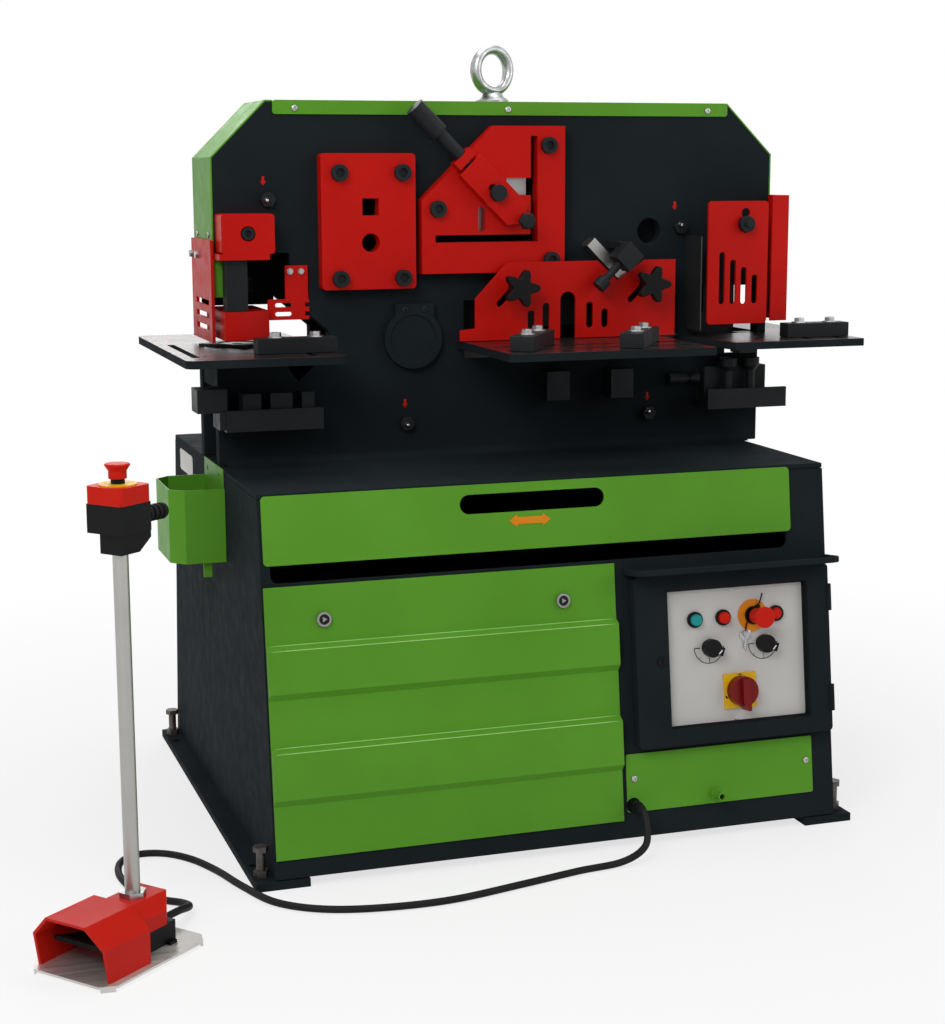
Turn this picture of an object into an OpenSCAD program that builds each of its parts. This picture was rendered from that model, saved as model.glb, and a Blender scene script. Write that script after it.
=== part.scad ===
// Hydraulic ironworker: a rocking beam between two plates drives a punch, a bar shear,
// an angle shear, a plate shear and a notcher, over a sloping cabinet with a foot pedal post.
// X runs to the right, Y to the back and Z up, with the origin on the floor between the anchor holes.

/* [Cabinet] */
// Depth at the top
top_d = 822; // [780:2:860]
// Depth at the floor
floor_d = 1000; // [960:2:1040]
// Thickness of the side panels and of the top plate
wall = 10; // [6:1:14]
// Thickness of the front frame and the rear panel
frame_t = 8; // [5:1:12]
// Thickness of the loose sheet covers
sheet = 3; // [2:0.5:4]
// Thickness of the foot plates
foot_t = 15; // [10:1:25]
// Width of a foot plate
foot_w = 98; // [80:2:120]
// How far a foot plate stands out past the side panel
foot_out = 35; // [30:1:50]
// Radius of the anchor holes in the feet
anchor_r = 9; // [6:0.5:11]
// Distance of the anchor holes from the ends of the feet
anchor_in = 95; // [80:1:140]
// Distance of the levelling bolts from the ends of the feet
level_in = 40; // [30:1:50]
// Radius of the levelling bolts
level_r = 8; // [6:0.5:10]

/* [Cabinet front] */
// Width of the stepped service cover
service_w = 659; // [600:1:680]
// Height of its lower edge
service_z = 51; // [40:1:70]
// Gap between its upper edge and the upper cover
cover_gap = 37; // [24:1:60]
// How far its two bands stand out
band_step = 12; // [6:1:18]
// Height of the upper cover
upper_h = 121; // [100:1:130]
// Length of the stroke slot
stroke_slot_w = 279; // [200:1:320]
// Width of the stroke slot
stroke_slot_h = 35; // [30:1:44]
// Gap between the service cover and the control door
door_gap = 28; // [20:1:40]
// Width of the control door
door_w = 400; // [380:1:404]
// Height of the low cover's lower edge
drain_z0 = 65; // [50:1:90]
// Height of the low cover under the door
drain_h = 108; // [80:1:130]
// Height of the door
door_h = 318; // [280:1:380]
// Rise from the door to the upper cover, where the visor is
visor_rise = 64; // [40:1:90]
// Thickness of the door
door_t = 22; // [18:1:28]
// Depth of the electrical box behind the front
box_d = 140; // [100:2:200]
// How far the visor stands out
visor_d = 72; // [50:1:90]
// Radius of the push buttons
button_r = 11; // [9:0.5:12]
// Radius of the emergency stop heads
mushroom_r = 20; // [16:0.5:22]

/* [Head] */
// Thickness of the two head plates
plate_t = 30; // [22:1:34]
// Depth over the two plates
head_d = 184; // [176:1:196]
// How far the head sits behind the cabinet's middle
head_y = 20; // [0:1:40]
// Depth of the punch throat
throat_d = 143; // [120:1:170]
// Height of the punch throat
throat_h = 193; // [170:1:230]
// Length of the plate shear
shear_w = 456; // [380:1:500]
// Width of the notcher
notch_w = 146; // [130:1:180]
// Height of the bar shear's plate
bar_plate_h = 255; // [230:1:280]
// Height of the angle shear's plate
angle_plate_h = 280; // [260:1:320]
// Size of the corner cut on the left
corner_l = 103; // [90:1:112]
// Size of the corner cut on the right
corner_r = 98; // [80:1:110]
// Radius of the main pivot pin
pivot_r = 40; // [30:1:48]
// Radius of the pivot's cover disc
pivot_cap_r = 58; // [50:1:70]
// Thickness of the rocking beam
beam_t = 100; // [90:1:104]
// Thickness of the red station plates
station_t = 28; // [18:1:34]
// Radius of the station bolts' heads
cap_r = 16; // [10:0.5:18]
// Side of the square bar hole
bar_sq = 32; // [20:1:36]
// Radius of the round bar hole
bar_r = 17.5; // [10:0.5:18]
// Width of the angle slot
angle_w = 14; // [10:0.5:18]
// Radius of the lifting eye's section
eye_r = 11; // [8:0.5:13]

/* [Punch] */
// Distance of the punch from the head's left edge
punch_in = 58; // [54:1:64]
// Radius of the ram
ram_r = 24; // [20:0.5:26]
// Radius of the punch
punch_r = 10; // [6:0.5:12]
// Radius of the die
die_r = 36; // [28:1:40]

/* [Tables] */
// Thickness of the three tables
table_t = 15; // [12:1:20]
// Height of the tables above the cabinet
table_h = 222; // [200:1:250]
// Width of the plate table
plate_table_w = 410; // [380:1:430]
// How far the plate table stands out in front
plate_table_d = 318; // [260:1:340]
// Thickness of the sheet guards
guard_t = 6; // [4:0.5:8]

/* [Pedal post] */
// Length of the pedal's floor plate
pedal_l = 245; // [230:1:280]
// Width of the pedal's floor plate
pedal_w = 176; // [160:1:200]
// Width of the hood
hood_w = 150; // [130:1:158]
// Height of the hood
hood_h = 100; // [92:1:120]
// Radius of the post
pole_r = 12.5; // [10:0.5:14]
// Height of the top of the post
pole_top = 690; // [640:5:760]
// Radius of the pedal's cord
cord_r = 6.5; // [5:0.5:7]

/* [Hidden] */
$fn = 48;
// running clearance of a shaft in its bore and of pieces that slide past each other
run_c = 0.05;
slide_c = 0.5;
// the cabinet's front, stacked from the low cover up to its top
drain_gap = 10;
top_edge = 4;
side_edge = 3;
door_edge = 10;
drain_z1 = drain_z0 + drain_h;
door_z = drain_z1 + drain_gap;
door_top = door_z + door_h;
upper_z0 = door_top + visor_rise;
upper_z1 = upper_z0 + upper_h;
base_h = upper_z1 + top_edge;
service_top = upper_z0 - cover_gap;
base_w = side_edge + service_w + door_gap + door_w + door_edge;
// the sloping front: its lean, and the distance up the slope of a height
lean = atan((floor_d - top_d) / 2 / base_h);
function up(z) = z / cos(lean);
function front_y(z) = -top_d / 2 - (base_h - z) * tan(lean);
half_w = base_w / 2;
inset = frame_t / cos(lean) + run_c;
under_top = base_h - wall;
skirt_z = foot_t + 2;
// places along the front
service_x0 = -half_w + side_edge;
service_x1 = service_x0 + service_w;
service_h = service_top - service_z;
door_x0 = service_x1 + door_gap;
door_x1 = door_x0 + door_w;
upper_x0 = -half_w + 6;
upper_w = base_w - 79;
rail_z = service_top + 6;
window_rim = 26;
lock_r = 12;
lock_stem_r = 8;
lock_z = service_top - 61;
lock_in = 105;
seat_c = 0.3;
door_back = 4;
door_front = door_back + door_t;
hinge_r = 5;
visor_lip = 11;
visor_edge = 6;
panel_out = 10;
panel_t = 4;
panel_lap = 8;
bezel_t = 6;
bezel_r = button_r + 4;
button_c = 0.3;
win_side = 66;
win_right = 45;
win_bottom = 31;
win_top = 29;
win_x0 = door_x0 + win_side;
win_x1 = door_x1 - win_right;
win_z0 = door_z + win_bottom;
win_z1 = door_top - win_top;
// places of the controls, as shares of the sunk panel
function win_x(share) = win_x0 + share * (win_x1 - win_x0);
function win_z(share) = win_z0 + share * (win_z1 - win_z0);
row1_z = win_z(0.771);
row2_z = win_z(0.562);
row3_z = win_z(0.2326);
start_x = win_x(0.2076);
stop_x = win_x(0.4083);
estop_x = win_x(0.6228);
lamp_x = win_x(0.7889);
sel_l_x = win_x(0.3045);
sel_r_x = win_x(0.692);
iso_x = win_x(0.512);
iso_half = 33;
iso_plate = 4;
estop_ring = 3;
estop_out = 56;
estop_free = 7;
drain_x0 = service_x1 + 8;
drain_w = door_w - 15;
pipe_x = drain_x0 + 178;
gland_x = drain_x0 + 12;
gland_z = drain_z0 + 13;
gland_r = 13;
gland_l = 26;
// planes of the head, from front to back
front_y0 = head_y - head_d / 2;
front_y1 = front_y0 + plate_t;
back_y1 = head_y + head_d / 2;
back_y0 = back_y1 - plate_t;
beam_y0 = head_y - beam_t / 2;
beam_y1 = head_y + beam_t / 2;
blade_t = 30;
red_y = front_y0 - station_t;
// main pivot and the linkage
table_z = base_h + table_h;
pivot_x = -165;
pivot_z = table_z + 10;
bush_c = 0.06;
boss_r = 100;
swing = 4;
arm_z = base_h - 58;
arm_tongue = 40;
clevis_t = 20;
clevis_c = 2;
link_pin_r = 14;
link_hole_r = link_pin_r + 1.5;
rod_r = 22;
barrel_r = 46;
barrel_x0 = -20;
barrel_x1 = 330;
slot_mid_x = pivot_x + 123;
slot_mid_z = upper_z1 - 35;
// bar shear, set out from the pivot
bar_x = pivot_x - 87;
bar_px0 = bar_x - 96;
bar_px1 = bar_x + 89;
bar_pz0 = pivot_z + 98;
bar_pz1 = bar_pz0 + bar_plate_h;
bar_sq_z = bar_pz0 + bar_plate_h * 31 / 51;
bar_rd_z = bar_pz0 + bar_plate_h * 88 / 255;
bar_blade = [bar_x - 48, bar_pz0 + 42, bar_x + 48, bar_pz1 - 57];
// upper jaw of the punch station
jaw_z = table_z - table_t;
jaw_top_z = jaw_z + throat_h;
throat_x = bar_px0 - 57;
head_l = throat_d - throat_x;
punch_x = head_l - punch_in;
guide_z0 = jaw_top_z - 15;
guide_z1 = jaw_top_z + 40;
guide_x1 = throat_x - 35;
ram_top = guide_z1 + 95;
ram_pin_z = guide_z1 + 65;
ram_pin_r = 10;
fork_gap = ram_r * 2 + 8;
coupling_z0 = jaw_top_z - 76;
coupling_z1 = jaw_top_z - 40;
punch_tip = table_z + 22;
die_top = table_z + 3;
die_hole_r = punch_r + 1;
foot_z0 = table_z + 20;
foot_z1 = table_z + 73;
// plate shear and notcher, from left to right
shear_x0 = pivot_x + 107;
shear_x1 = shear_x0 + shear_w;
shear_z = table_z + 4;
shear_gap_z = shear_z + 76;
notch_x0 = shear_x1 + 32;
notch_x1 = notch_x0 + notch_w;
notch_top_z = shear_z + 94;
head_r = notch_x1 + 21;
guard_y = front_y0 - 40;
guard_x0 = shear_x0 + 8;
guard_x1 = shear_x1 - 27;
knob_h = 103;
knob_l = [guard_x0 + 81, shear_z + knob_h];
knob_r = [guard_x1 - 65, shear_z + knob_h + 2];
stud_r = 6;
guard_run = 30;
guard_slot_x = shear_x0 + shear_w * 0.438;
fence_turn = 57;
fence_l = [shear_x0 + 66, front_y0 - plate_table_d + 110];
fence_r = [shear_x0 + 280, front_y0 - plate_table_d + 102];
set_x = guard_x1 - 117;
set_z = shear_z + 160;
set_half = 21;
set_y = guard_y - guard_t - set_half - 4;
notch_guard_y = front_y0 - 76;
notch_stud = [notch_x0 + notch_w / 2 + 1, table_z + 224];
notch_run = 10;
// angle shear, above the plate shear's knobs
angle_px0 = bar_px1 + 12;
angle_px1 = angle_px0 + 292;
angle_pz0 = shear_z + knob_h + 28;
angle_pz1 = angle_pz0 + angle_plate_h;
angle_cut = 140;
angle_x = angle_px0 + 221;
angle_z = angle_pz0 + 59;
angle_top = angle_pz1 - 19;
angle_left = angle_px0 + 27;
angle_bx0 = angle_px0 + 11;
angle_bx1 = angle_px1 - 31;
angle_bz0 = angle_pz0 + 37;
angle_bz1 = angle_pz1 - 11;
head_top = angle_pz1 + 43;
// hold-down on the angle shear, set out along its own slope
hold_x = angle_px0 + 147;
hold_z = angle_pz0 + 150;
hold_w = 58;
hold_l = 160;
hold_t = 24;
hold_y = red_y - hold_t;
hold_screw_r = 8;
hold_run = 12;
hold_stud_x = -4;
hold_groove = 12;
// slug bucket on the left panel
bucket_y0 = -126;
bucket_y1 = 66;
bucket_d = 102;
bucket_h = 140;
bucket_cut = 26;
// pedal post
pedal_x = -851;
pedal_y = -700;
pedal_turn = -50;
pedal_plate_t = 4;
pedal_z = pedal_plate_t + 6;
post_y = 36;
rear_h = 46;
rear_w = 96;
rear_l = 92;
cap_top = hood_h - 8;
hood_cut = 34;
hood_lean = 16;
stop_box_w = 70;
stop_box_h = 46;
lid_h = 28;
lid_ring = 2;
hood_wall = 5;
treadle_z = pedal_z + 22;

green = [0.33, 0.57, 0.19];
red = [0.67, 0.11, 0.08];
black = [0.10, 0.11, 0.12];
steel = [0.70, 0.71, 0.72];
grey = [0.62, 0.64, 0.65];

// a flat outline in X and Z, thick between two depths
module slab(y0, y1) {
  translate([0, y1, 0])
    rotate([90, 0, 0])
      linear_extrude(y1 - y0)
        children();
}

// an outline in Y and Z, carried along X
module along_x(x0, x1) {
  translate([x0, 0, 0])
    rotate([90, 0, 90])
      linear_extrude(x1 - x0)
        children();
}

// a round bar along Y
module bar_y(x, z, y0, y1, r) {
  translate([x, y1, z])
    rotate([90, 0, 0])
      cylinder(h = y1 - y0, r = r);
}

// a round bar along X
module bar_x_at(y, z, x0, x1, r) {
  translate([x0, y, z])
    rotate([0, 90, 0])
      cylinder(h = x1 - x0, r = r);
}

// the sloping front as a drawing board: X across, Y up the slope, Z out of the cabinet
module on_front() {
  translate([0, -floor_d / 2, 0])
    rotate([90 - lean, 0, 0])
      children();
}

module box2(x0, y0, x1, y1) {
  translate([x0, y0])
    square([x1 - x0, y1 - y0]);
}

// a rectangle with round corners
module round2(x0, y0, x1, y1, r) {
  box2(x0 + r, y0, x1 - r, y1);
  box2(x0, y0 + r, x1, y1 - r);
  for (x = [x0 + r, x1 - r])
    for (y = [y0 + r, y1 - r])
      translate([x, y])
        circle(r);
}

// a slot with round ends between two points
module slot2(a, b, r) {
  d = b - a;
  translate(a)
    rotate(atan2(d[1], d[0])) {
      circle(r);
      translate([norm(d), 0])
        circle(r);
      translate([0, -r])
        square([norm(d), 2 * r]);
    }
}

// a hexagon bolt head or nut standing up from a face
module hex_head(af, h) {
  cylinder(h = h, r = af / 2 / cos(30), $fn = 6);
}

// a hexagon head on the front of the head, facing the user
module hex_y(x, z, y0, y1, af) {
  translate([x, y1, z])
    rotate([90, 0, 0])
      hex_head(af, y1 - y0);
}

// a socket cap head facing the user
module cap_y(x, z, y0, h, r) {
  difference() {
    bar_y(x, z, y0 - h, y0, r);
    hex_y(x, z, y0 - h - 1, y0 - h * 0.4, r);
  }
}

// side panels, foot plates and floor pan, welded into one frame
module base_frame() {
  color(black)
    difference() {
      union() {
        for (m = [0, 1])
          mirror([m, 0, 0]) {
            along_x(half_w - wall, half_w)
              polygon([[front_y(foot_t) + inset, foot_t], [-front_y(foot_t) - inset, foot_t],
                [-front_y(under_top) - inset, under_top], [front_y(under_top) + inset, under_top]]);
            translate([half_w + foot_out - foot_w, -floor_d / 2, 0])
              cube([foot_w, floor_d, foot_t]);
          }
        translate([-half_w + wall, -floor_d / 2 + 60, foot_t])
          cube([base_w - 2 * wall, floor_d - 120, frame_t]);
      }
      for (x = [-1, 1])
        for (y = [-1, 1]) {
          translate([x * (half_w + foot_out / 2), y * (floor_d / 2 - anchor_in), -1])
            cylinder(h = foot_t + frame_t + 2, r = anchor_r);
          translate([x * (half_w + foot_out / 2), y * (floor_d / 2 - level_in), -1])
            cylinder(h = foot_t + frame_t + 2, r = level_r + run_c);
        }
    }
}

// jack bolts with their lock nuts at the four ends of the feet
module levelling_bolts() {
  color(steel)
    for (x = [-1, 1])
      for (y = [-1, 1])
        translate([x * (half_w + foot_out / 2), y * (floor_d / 2 - level_in), 0]) {
          cylinder(h = foot_t + 52, r = level_r);
          translate([0, 0, foot_t])
            hex_head(level_r * 3, level_r * 1.5);
          translate([0, 0, foot_t + 46])
            hex_head(level_r * 3, level_r * 1.2);
        }
}

// cabinet top, with the slot that the beam's lower arm swings in
module base_top() {
  arm_half = 40 + (pivot_z - under_top) * tan(swing) + 8;
  color(black)
    difference() {
      translate([-half_w, -top_d / 2, under_top])
        cube([base_w, top_d, wall]);
      translate([pivot_x - arm_half, front_y1, under_top - 1])
        cube([2 * arm_half, back_y0 - front_y1, wall + 2]);
    }
}

// front frame, a sheet with a window behind each cover
module front_frame() {
  color(black)
    on_front()
      translate([0, 0, -frame_t])
        linear_extrude(frame_t)
          difference() {
            box2(-half_w, up(skirt_z), half_w, up(under_top));
            round2(-half_w + 18, up(rail_z), upper_x0 + upper_w - 8, up(under_top - 8), 14);
            box2(service_x0 + window_rim, up(service_z + window_rim), service_x1 - window_rim,
              up(service_top - window_rim));
            box2(door_x0 + 6, up(door_z + 6), door_x1 - 6, up(door_top - 6));
            box2(drain_x0 + 30, up(drain_z0 + 24), drain_x0 + drain_w - 16, up(drain_z1 - 16));
          }
}

// rear panel with two banks of cooling slots
module rear_panel() {
  bank_w = base_w * 0.3;
  color(black)
    mirror([0, 1, 0])
      on_front()
        translate([0, 0, -frame_t])
          linear_extrude(frame_t)
            difference() {
              box2(-half_w, up(skirt_z), half_w, up(under_top));
              for (x = [-base_w / 4, base_w / 4])
                for (k = [0:6])
                  slot2([x - bank_w / 2, up(150 + 24 * k)], [x + bank_w / 2, up(150 + 24 * k)], 5);
            }
}

// upper cover with the stroke slot, and the low cover with the drain pipe
module front_covers() {
  color(green)
    on_front() {
      linear_extrude(sheet)
        difference() {
          round2(upper_x0, up(upper_z0), upper_x0 + upper_w, up(upper_z1), 8);
          slot2([slot_mid_x - (stroke_slot_w - stroke_slot_h) / 2, up(slot_mid_z)],
            [slot_mid_x + (stroke_slot_w - stroke_slot_h) / 2, up(slot_mid_z)], stroke_slot_h / 2);
        }
      difference() {
        union() {
          linear_extrude(sheet)
            difference() {
              round2(drain_x0, up(drain_z0), drain_x0 + drain_w, up(drain_z1), 4);
              translate([gland_x, up(gland_z)])
                circle(gland_r + 1);
            }
          translate([pipe_x, up(drain_z0 + 17), 0])
            cylinder(h = sheet + 34, r = 8);
          translate([pipe_x, up(drain_z0 + 17), 0])
            cylinder(h = sheet + 9, r = 11);
        }
        translate([pipe_x, up(drain_z0 + 17), sheet + 6])
          cylinder(h = 40, r = 5.5);
      }
    }
}

// stepped service cover: a bent sheet with two raised bands and closed ends
function service_edge() = [
  [up(service_z), 0], [band_s(0.199), 0], [band_s(0.199) + band_step, band_step],
  [band_s(0.394), band_step], [band_s(0.394) + band_step * 0.7, 0], [band_s(0.587), 0],
  [band_s(0.587) + band_step, band_step], [band_s(0.769), band_step],
  [band_s(0.769) + band_step * 0.7, 0], [up(service_top), 0]];

function band_s(share) = up(service_z + share * service_h);

module lower_cover() {
  e = service_edge();
  n = len(e);
  color(green)
    on_front()
      difference() {
        union() {
          translate([0, 0, slide_c])
            along_x(service_x0, service_x1)
              polygon(concat([for (p = e) p + [0, sheet]], [for (k = [n - 1:-1:0]) e[k]]));
          for (x = [service_x0, service_x1 - sheet])
            translate([0, 0, slide_c])
              along_x(x, x + sheet)
                polygon(concat([for (p = e) p + [0, sheet]], [[e[n - 1][0], 0], [e[0][0], 0]]));
        }
        for (x = [service_x0 + lock_in, service_x1 - lock_in])
          translate([x, up(lock_z), -1])
            cylinder(h = sheet + 4, r = lock_stem_r + button_c);
      }
}

// quarter-turn lock with a coin slot
module cover_lock(x) {
  color(steel)
    on_front()
      translate([x, up(lock_z), 0])
        difference() {
          union() {
            translate([0, 0, -frame_t - 4])
              cylinder(h = frame_t + 4 + slide_c + sheet + 1, r = lock_stem_r);
            translate([0, 0, slide_c + sheet + 0.3])
              cylinder(h = 5, r = lock_r);
          }
          translate([-lock_r, -1.5, slide_c + sheet + 3])
            cube([lock_r * 2, 3, 10]);
        }
}

module cover_lock_left() {
  cover_lock(service_x0 + lock_in);
}

module cover_lock_right() {
  cover_lock(service_x1 - lock_in);
}

// electrical box behind the door, with the visor above it
module electrical_box() {
  x0 = door_x0 + 6;
  x1 = door_x1 - 6;
  y0 = up(door_z + 6);
  y1 = up(door_top - 6);
  visor_s = up(door_top) + 4;
  color(black)
    on_front() {
      difference() {
        translate([x0, y0, -box_d])
          cube([x1 - x0, y1 - y0, box_d + door_back - seat_c]);
        translate([x0 + sheet, y0 + sheet, -box_d + sheet])
          cube([x1 - x0 - 2 * sheet, y1 - y0 - 2 * sheet, box_d + 8]);
      }
      translate([0, visor_s + sheet + 1, 0])
        rotate([90, 0, 0])
          linear_extrude(sheet + 1)
            visor_outline(0);
      translate([0, visor_s + visor_lip, 0])
        rotate([90, 0, 0])
          linear_extrude(visor_lip)
            difference() {
              visor_outline(0);
              visor_outline(visor_edge);
            }
    }
}

// plan of the visor, its two outer corners round
module visor_outline(in) {
  round2(door_x0 - 12 + in, 0, door_x1 + 12 - in, visor_d - in, 30 - in);
  box2(door_x0 - 12 + in, in > 0 ? -1 : 0, door_x1 + 12 - in, visor_d / 2);
}

// door frame round the sunk panel, with its key lock and two hinge knuckles
module control_door() {
  color(black)
    on_front()
      difference() {
        union() {
          translate([0, 0, door_back])
            linear_extrude(door_t)
              round2(door_x0, up(door_z), door_x1, up(door_top), 8);
          translate([door_x0 + 50, up(door_z + door_h / 2), door_front])
            cylinder(h = 3, r = 9);
          for (s = [0.12, 0.72])
            translate([door_x1, up(door_z + s * door_h), door_front])
              rotate([-90, 0, 0])
                cylinder(h = door_h * 0.16, r = hinge_r);
        }
        translate([0, 0, door_back - 1])
          linear_extrude(door_t + 2)
            round2(win_x0, up(win_z0), win_x1, up(win_z1), 6);
        translate([0, 0, door_back - 1])
          linear_extrude(panel_out - door_back + 1)
            box2(win_x0 - panel_lap, up(win_z0) - panel_lap, win_x1 + panel_lap, up(win_z1) + panel_lap);
        translate([door_x0 + 48.5, up(door_z + door_h / 2) - 6, door_front + 1])
          cube([3, 12, 4]);
      }
}

// panel behind the door frame, with the collars round each control
module control_panel() {
  color(grey)
    on_front()
      difference() {
        union() {
          translate([0, 0, panel_out - panel_t])
            linear_extrude(panel_t)
              box2(win_x0 - panel_lap, up(win_z0) - panel_lap, win_x1 + panel_lap, up(win_z1) + panel_lap);
          for (p = [[start_x, row1_z], [stop_x, row1_z], [lamp_x, row1_z], [sel_l_x, row2_z], [sel_r_x, row2_z]])
            translate([p[0], up(p[1]), panel_out - 1])
              cylinder(h = bezel_t + 1, r = bezel_r);
          translate([estop_x, up(row1_z), panel_out - 1])
            cylinder(h = estop_ring + 1, r = mushroom_r + 10);
          translate([estop_x, up(row1_z), panel_out - 1])
            cylinder(h = estop_ring + 8, r = button_r + 4);
          translate([iso_x - iso_half, up(row3_z) - iso_half, panel_out - 1])
            cube([iso_half * 2, iso_half * 2, iso_plate + 1]);
          translate([lamp_x, up(row1_z), panel_out + bezel_t])
            cylinder(h = 5, r1 = button_r, r2 = button_r - 3);
        }
        for (p = [[start_x, row1_z], [stop_x, row1_z], [estop_x, row1_z], [sel_l_x, row2_z],
            [sel_r_x, row2_z], [iso_x, row3_z]])
          translate([p[0], up(p[1]), 0])
            cylinder(h = 40, r = button_r + button_c);
      }
}

// round push button sliding in its collar
module push_button(x, z, c) {
  color(c)
    on_front()
      translate([x, up(z), 0]) {
        translate([0, 0, 2])
          cylinder(h = panel_out + bezel_t + 4, r = button_r);
        translate([0, 0, panel_out + bezel_t + 6])
          cylinder(h = 1.5, r1 = button_r, r2 = button_r - 1.5);
      }
}

module start_button() {
  push_button(start_x, row1_z, [0.1, 0.55, 0.55]);
}

module stop_button() {
  push_button(stop_x, row1_z, red);
}

// mushroom head on its stem
module mushroom(r, stem_r, free, h) {
  neck_r = r * 0.72;
  cylinder(h = free + 1, r = stem_r);
  translate([0, 0, free])
    rotate_extrude()
      union() {
        box2(0, 0, neck_r, h - 7);
        polygon([[0, h - 12], [neck_r, h - 12], [r - 1, h - 5], [r, h - 3.5], [r, h - 2], [r - 2, h - 0.5],
          [r * 0.5, h], [0, h]]);
      }
}

module estop_button() {
  free = panel_out + estop_ring + 7 + estop_free;
  color(red)
    on_front()
      translate([estop_x, up(row1_z), 2])
        mushroom(mushroom_r, button_r, free - 2, panel_out + estop_out - free);
}

// round selector with a pointer nose
module selector(x) {
  knob_z = panel_out + bezel_t + seat_c;
  color(black)
    on_front()
      translate([x, up(row2_z), 0]) {
        translate([0, 0, 2])
          cylinder(h = knob_z, r = button_r);
        translate([0, 0, knob_z])
          rotate(-20)
            linear_extrude(15) {
              circle(bezel_r + 2);
              translate([0, -bezel_r * 0.6])
                square([bezel_r + 8, bezel_r * 1.1]);
            }
      }
}

module selector_left() {
  selector(sel_l_x);
}

module selector_right() {
  selector(sel_r_x);
}

// isolator knob, a disc with a long grip
module isolator_knob() {
  disc_r = iso_half * 0.85;
  knob_z = panel_out + iso_plate + 0.4;
  color(red)
    on_front()
      translate([iso_x, up(row3_z), 0]) {
        translate([0, 0, 2])
          cylinder(h = knob_z, r = button_r);
        translate([0, 0, knob_z])
          cylinder(h = 20, r = disc_r);
        translate([0, 0, knob_z])
          linear_extrude(30)
            polygon([[-8, disc_r * 0.86], [8, disc_r * 0.86], [8, -disc_r - 8], [2, -disc_r - 8], [-8, -disc_r * 0.7]]);
      }
}

// outline of the head plates with the punch throat
module head_outline() {
  difference() {
    polygon([[-head_l, base_h], [head_r - 17, base_h], [head_r - 17, jaw_z - 17], [head_r, jaw_z],
      [head_r, head_top - corner_r], [head_r - corner_r, head_top], [-head_l + corner_l, head_top],
      [-head_l, head_top - corner_l]]);
    polygon([[-head_l - 1, jaw_z], [throat_x - 20, jaw_z], [throat_x + 13, jaw_z - 51],
      [throat_x + 75, jaw_z + 8], [throat_x + 75, jaw_z + 43], [throat_x, jaw_z + 108],
      [throat_x, jaw_top_z], [-head_l - 1, jaw_top_z]]);
  }
}

module front_plate() {
  color(black)
    slab(front_y0, front_y1)
      difference() {
        head_outline();
        translate([pivot_x, pivot_z])
          circle(pivot_r + run_c);
        box2(bar_blade[0], bar_blade[1], bar_blade[2], bar_blade[3]);
        angle_blade();
        box2(shear_x0, shear_z - 36, shear_x1, shear_gap_z);
        box2(notch_x0, table_z - 42, notch_x1, notch_top_z);
        translate([shear_x1 - 65, shear_z + 206])
          circle(25);
      }
}

// back plate, open behind each shear so that the work can pass
module back_plate() {
  color(black)
    slab(back_y0, back_y1)
      difference() {
        head_outline();
        translate([pivot_x, pivot_z])
          circle(pivot_r + run_c);
        box2(bar_x - 34, bar_blade[1] + 14, bar_x + 34, bar_blade[3] - 14);
        box2(angle_left - 10, angle_z - 12, angle_x + angle_w + 14, angle_top + 8);
        box2(shear_x0, shear_z - 36, shear_x1, shear_gap_z);
        box2(notch_x0, table_z - 42, notch_x1, notch_top_z);
      }
}

// blocks between the plates: ram guide, die bolster, blade seats and spacers
module frame_blocks() {
  color(black) {
    difference() {
      slab(front_y1, back_y0)
        box2(-head_l + 3, guide_z0, guide_x1, guide_z1);
      translate([-punch_x, head_y, guide_z0 - 1])
        cylinder(h = guide_z1 - guide_z0 + 2, r = ram_r + run_c);
    }
    difference() {
      slab(front_y1, back_y0)
        box2(-head_l + 3, jaw_z - 60, throat_x - 30, jaw_z);
      translate([-punch_x, head_y, jaw_z - 61])
        cylinder(h = 62, r = punch_r + 5);
    }
    slab(front_y1, back_y0) {
      box2(-head_l + 28, base_h + 30, -head_l + 98, base_h + 80);
      box2(head_r - 107, base_h + 30, head_r - 37, base_h + 80);
    }
    slab(front_y1, back_y0) {
      box2(-head_l + corner_l + 5, head_top - 70, -head_l + corner_l + 50, head_top - 25);
      box2(head_r - 82, head_top - corner_r - 47, head_r - 32, head_top - corner_r - 2);
    }
  }
}

// sheet covers over the top and both ends
module top_cover() {
  lip_h = 23;
  x0 = -head_l + corner_l + 13;
  x1 = head_r - corner_r;
  y0 = front_y0 - sheet;
  y1 = back_y1 + sheet;
  color(green) {
    difference() {
      slab(y0, y1)
        round2(x0, head_top - lip_h, x1, head_top + sheet, 6);
      translate([x0 - 1, front_y0, head_top - lip_h - 1])
        cube([x1 - x0 + 2, head_d, lip_h + 1]);
      translate([32, head_y, head_top - 1])
        cylinder(h = sheet + 3, r = eye_r + 1);
    }
    slab(front_y0, back_y1)
      polygon([[-head_l + corner_l + 13, head_top + 0], [-head_l + corner_l + 13, head_top + sheet],
        [-head_l + corner_l - 1, head_top + sheet], [-head_l - sheet, head_top - corner_l + 1],
        [-head_l - sheet, jaw_top_z - 80], [-head_l, jaw_top_z - 80], [-head_l, head_top - corner_l],
        [-head_l + corner_l, head_top]]);
    slab(front_y0, back_y1)
      polygon([[head_r - corner_r, head_top], [head_r - corner_r, head_top + sheet],
        [head_r - corner_r + 1, head_top + sheet], [head_r + sheet, head_top - corner_r + 1],
        [head_r + sheet, notch_top_z + 30], [head_r, notch_top_z + 30], [head_r, head_top - corner_r]]);
  }
}

// lifting eye screwed into a bar between the plates
module eye_bolt() {
  ring_r = 41;
  color(steel) {
    translate([32, head_y, head_top + sheet]) {
      translate([0, 0, 12 + eye_r + ring_r])
        rotate([90, 0, 0])
          rotate_extrude()
            translate([ring_r, 0])
              circle(eye_r);
      cylinder(h = 16, r = 26);
    }
    translate([32, head_y, head_top - 13])
      cylinder(h = 29 + sheet, r = eye_r);
    slab(front_y1, back_y0)
      box2(2, head_top - 13, 62, head_top);
  }
}

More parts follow.
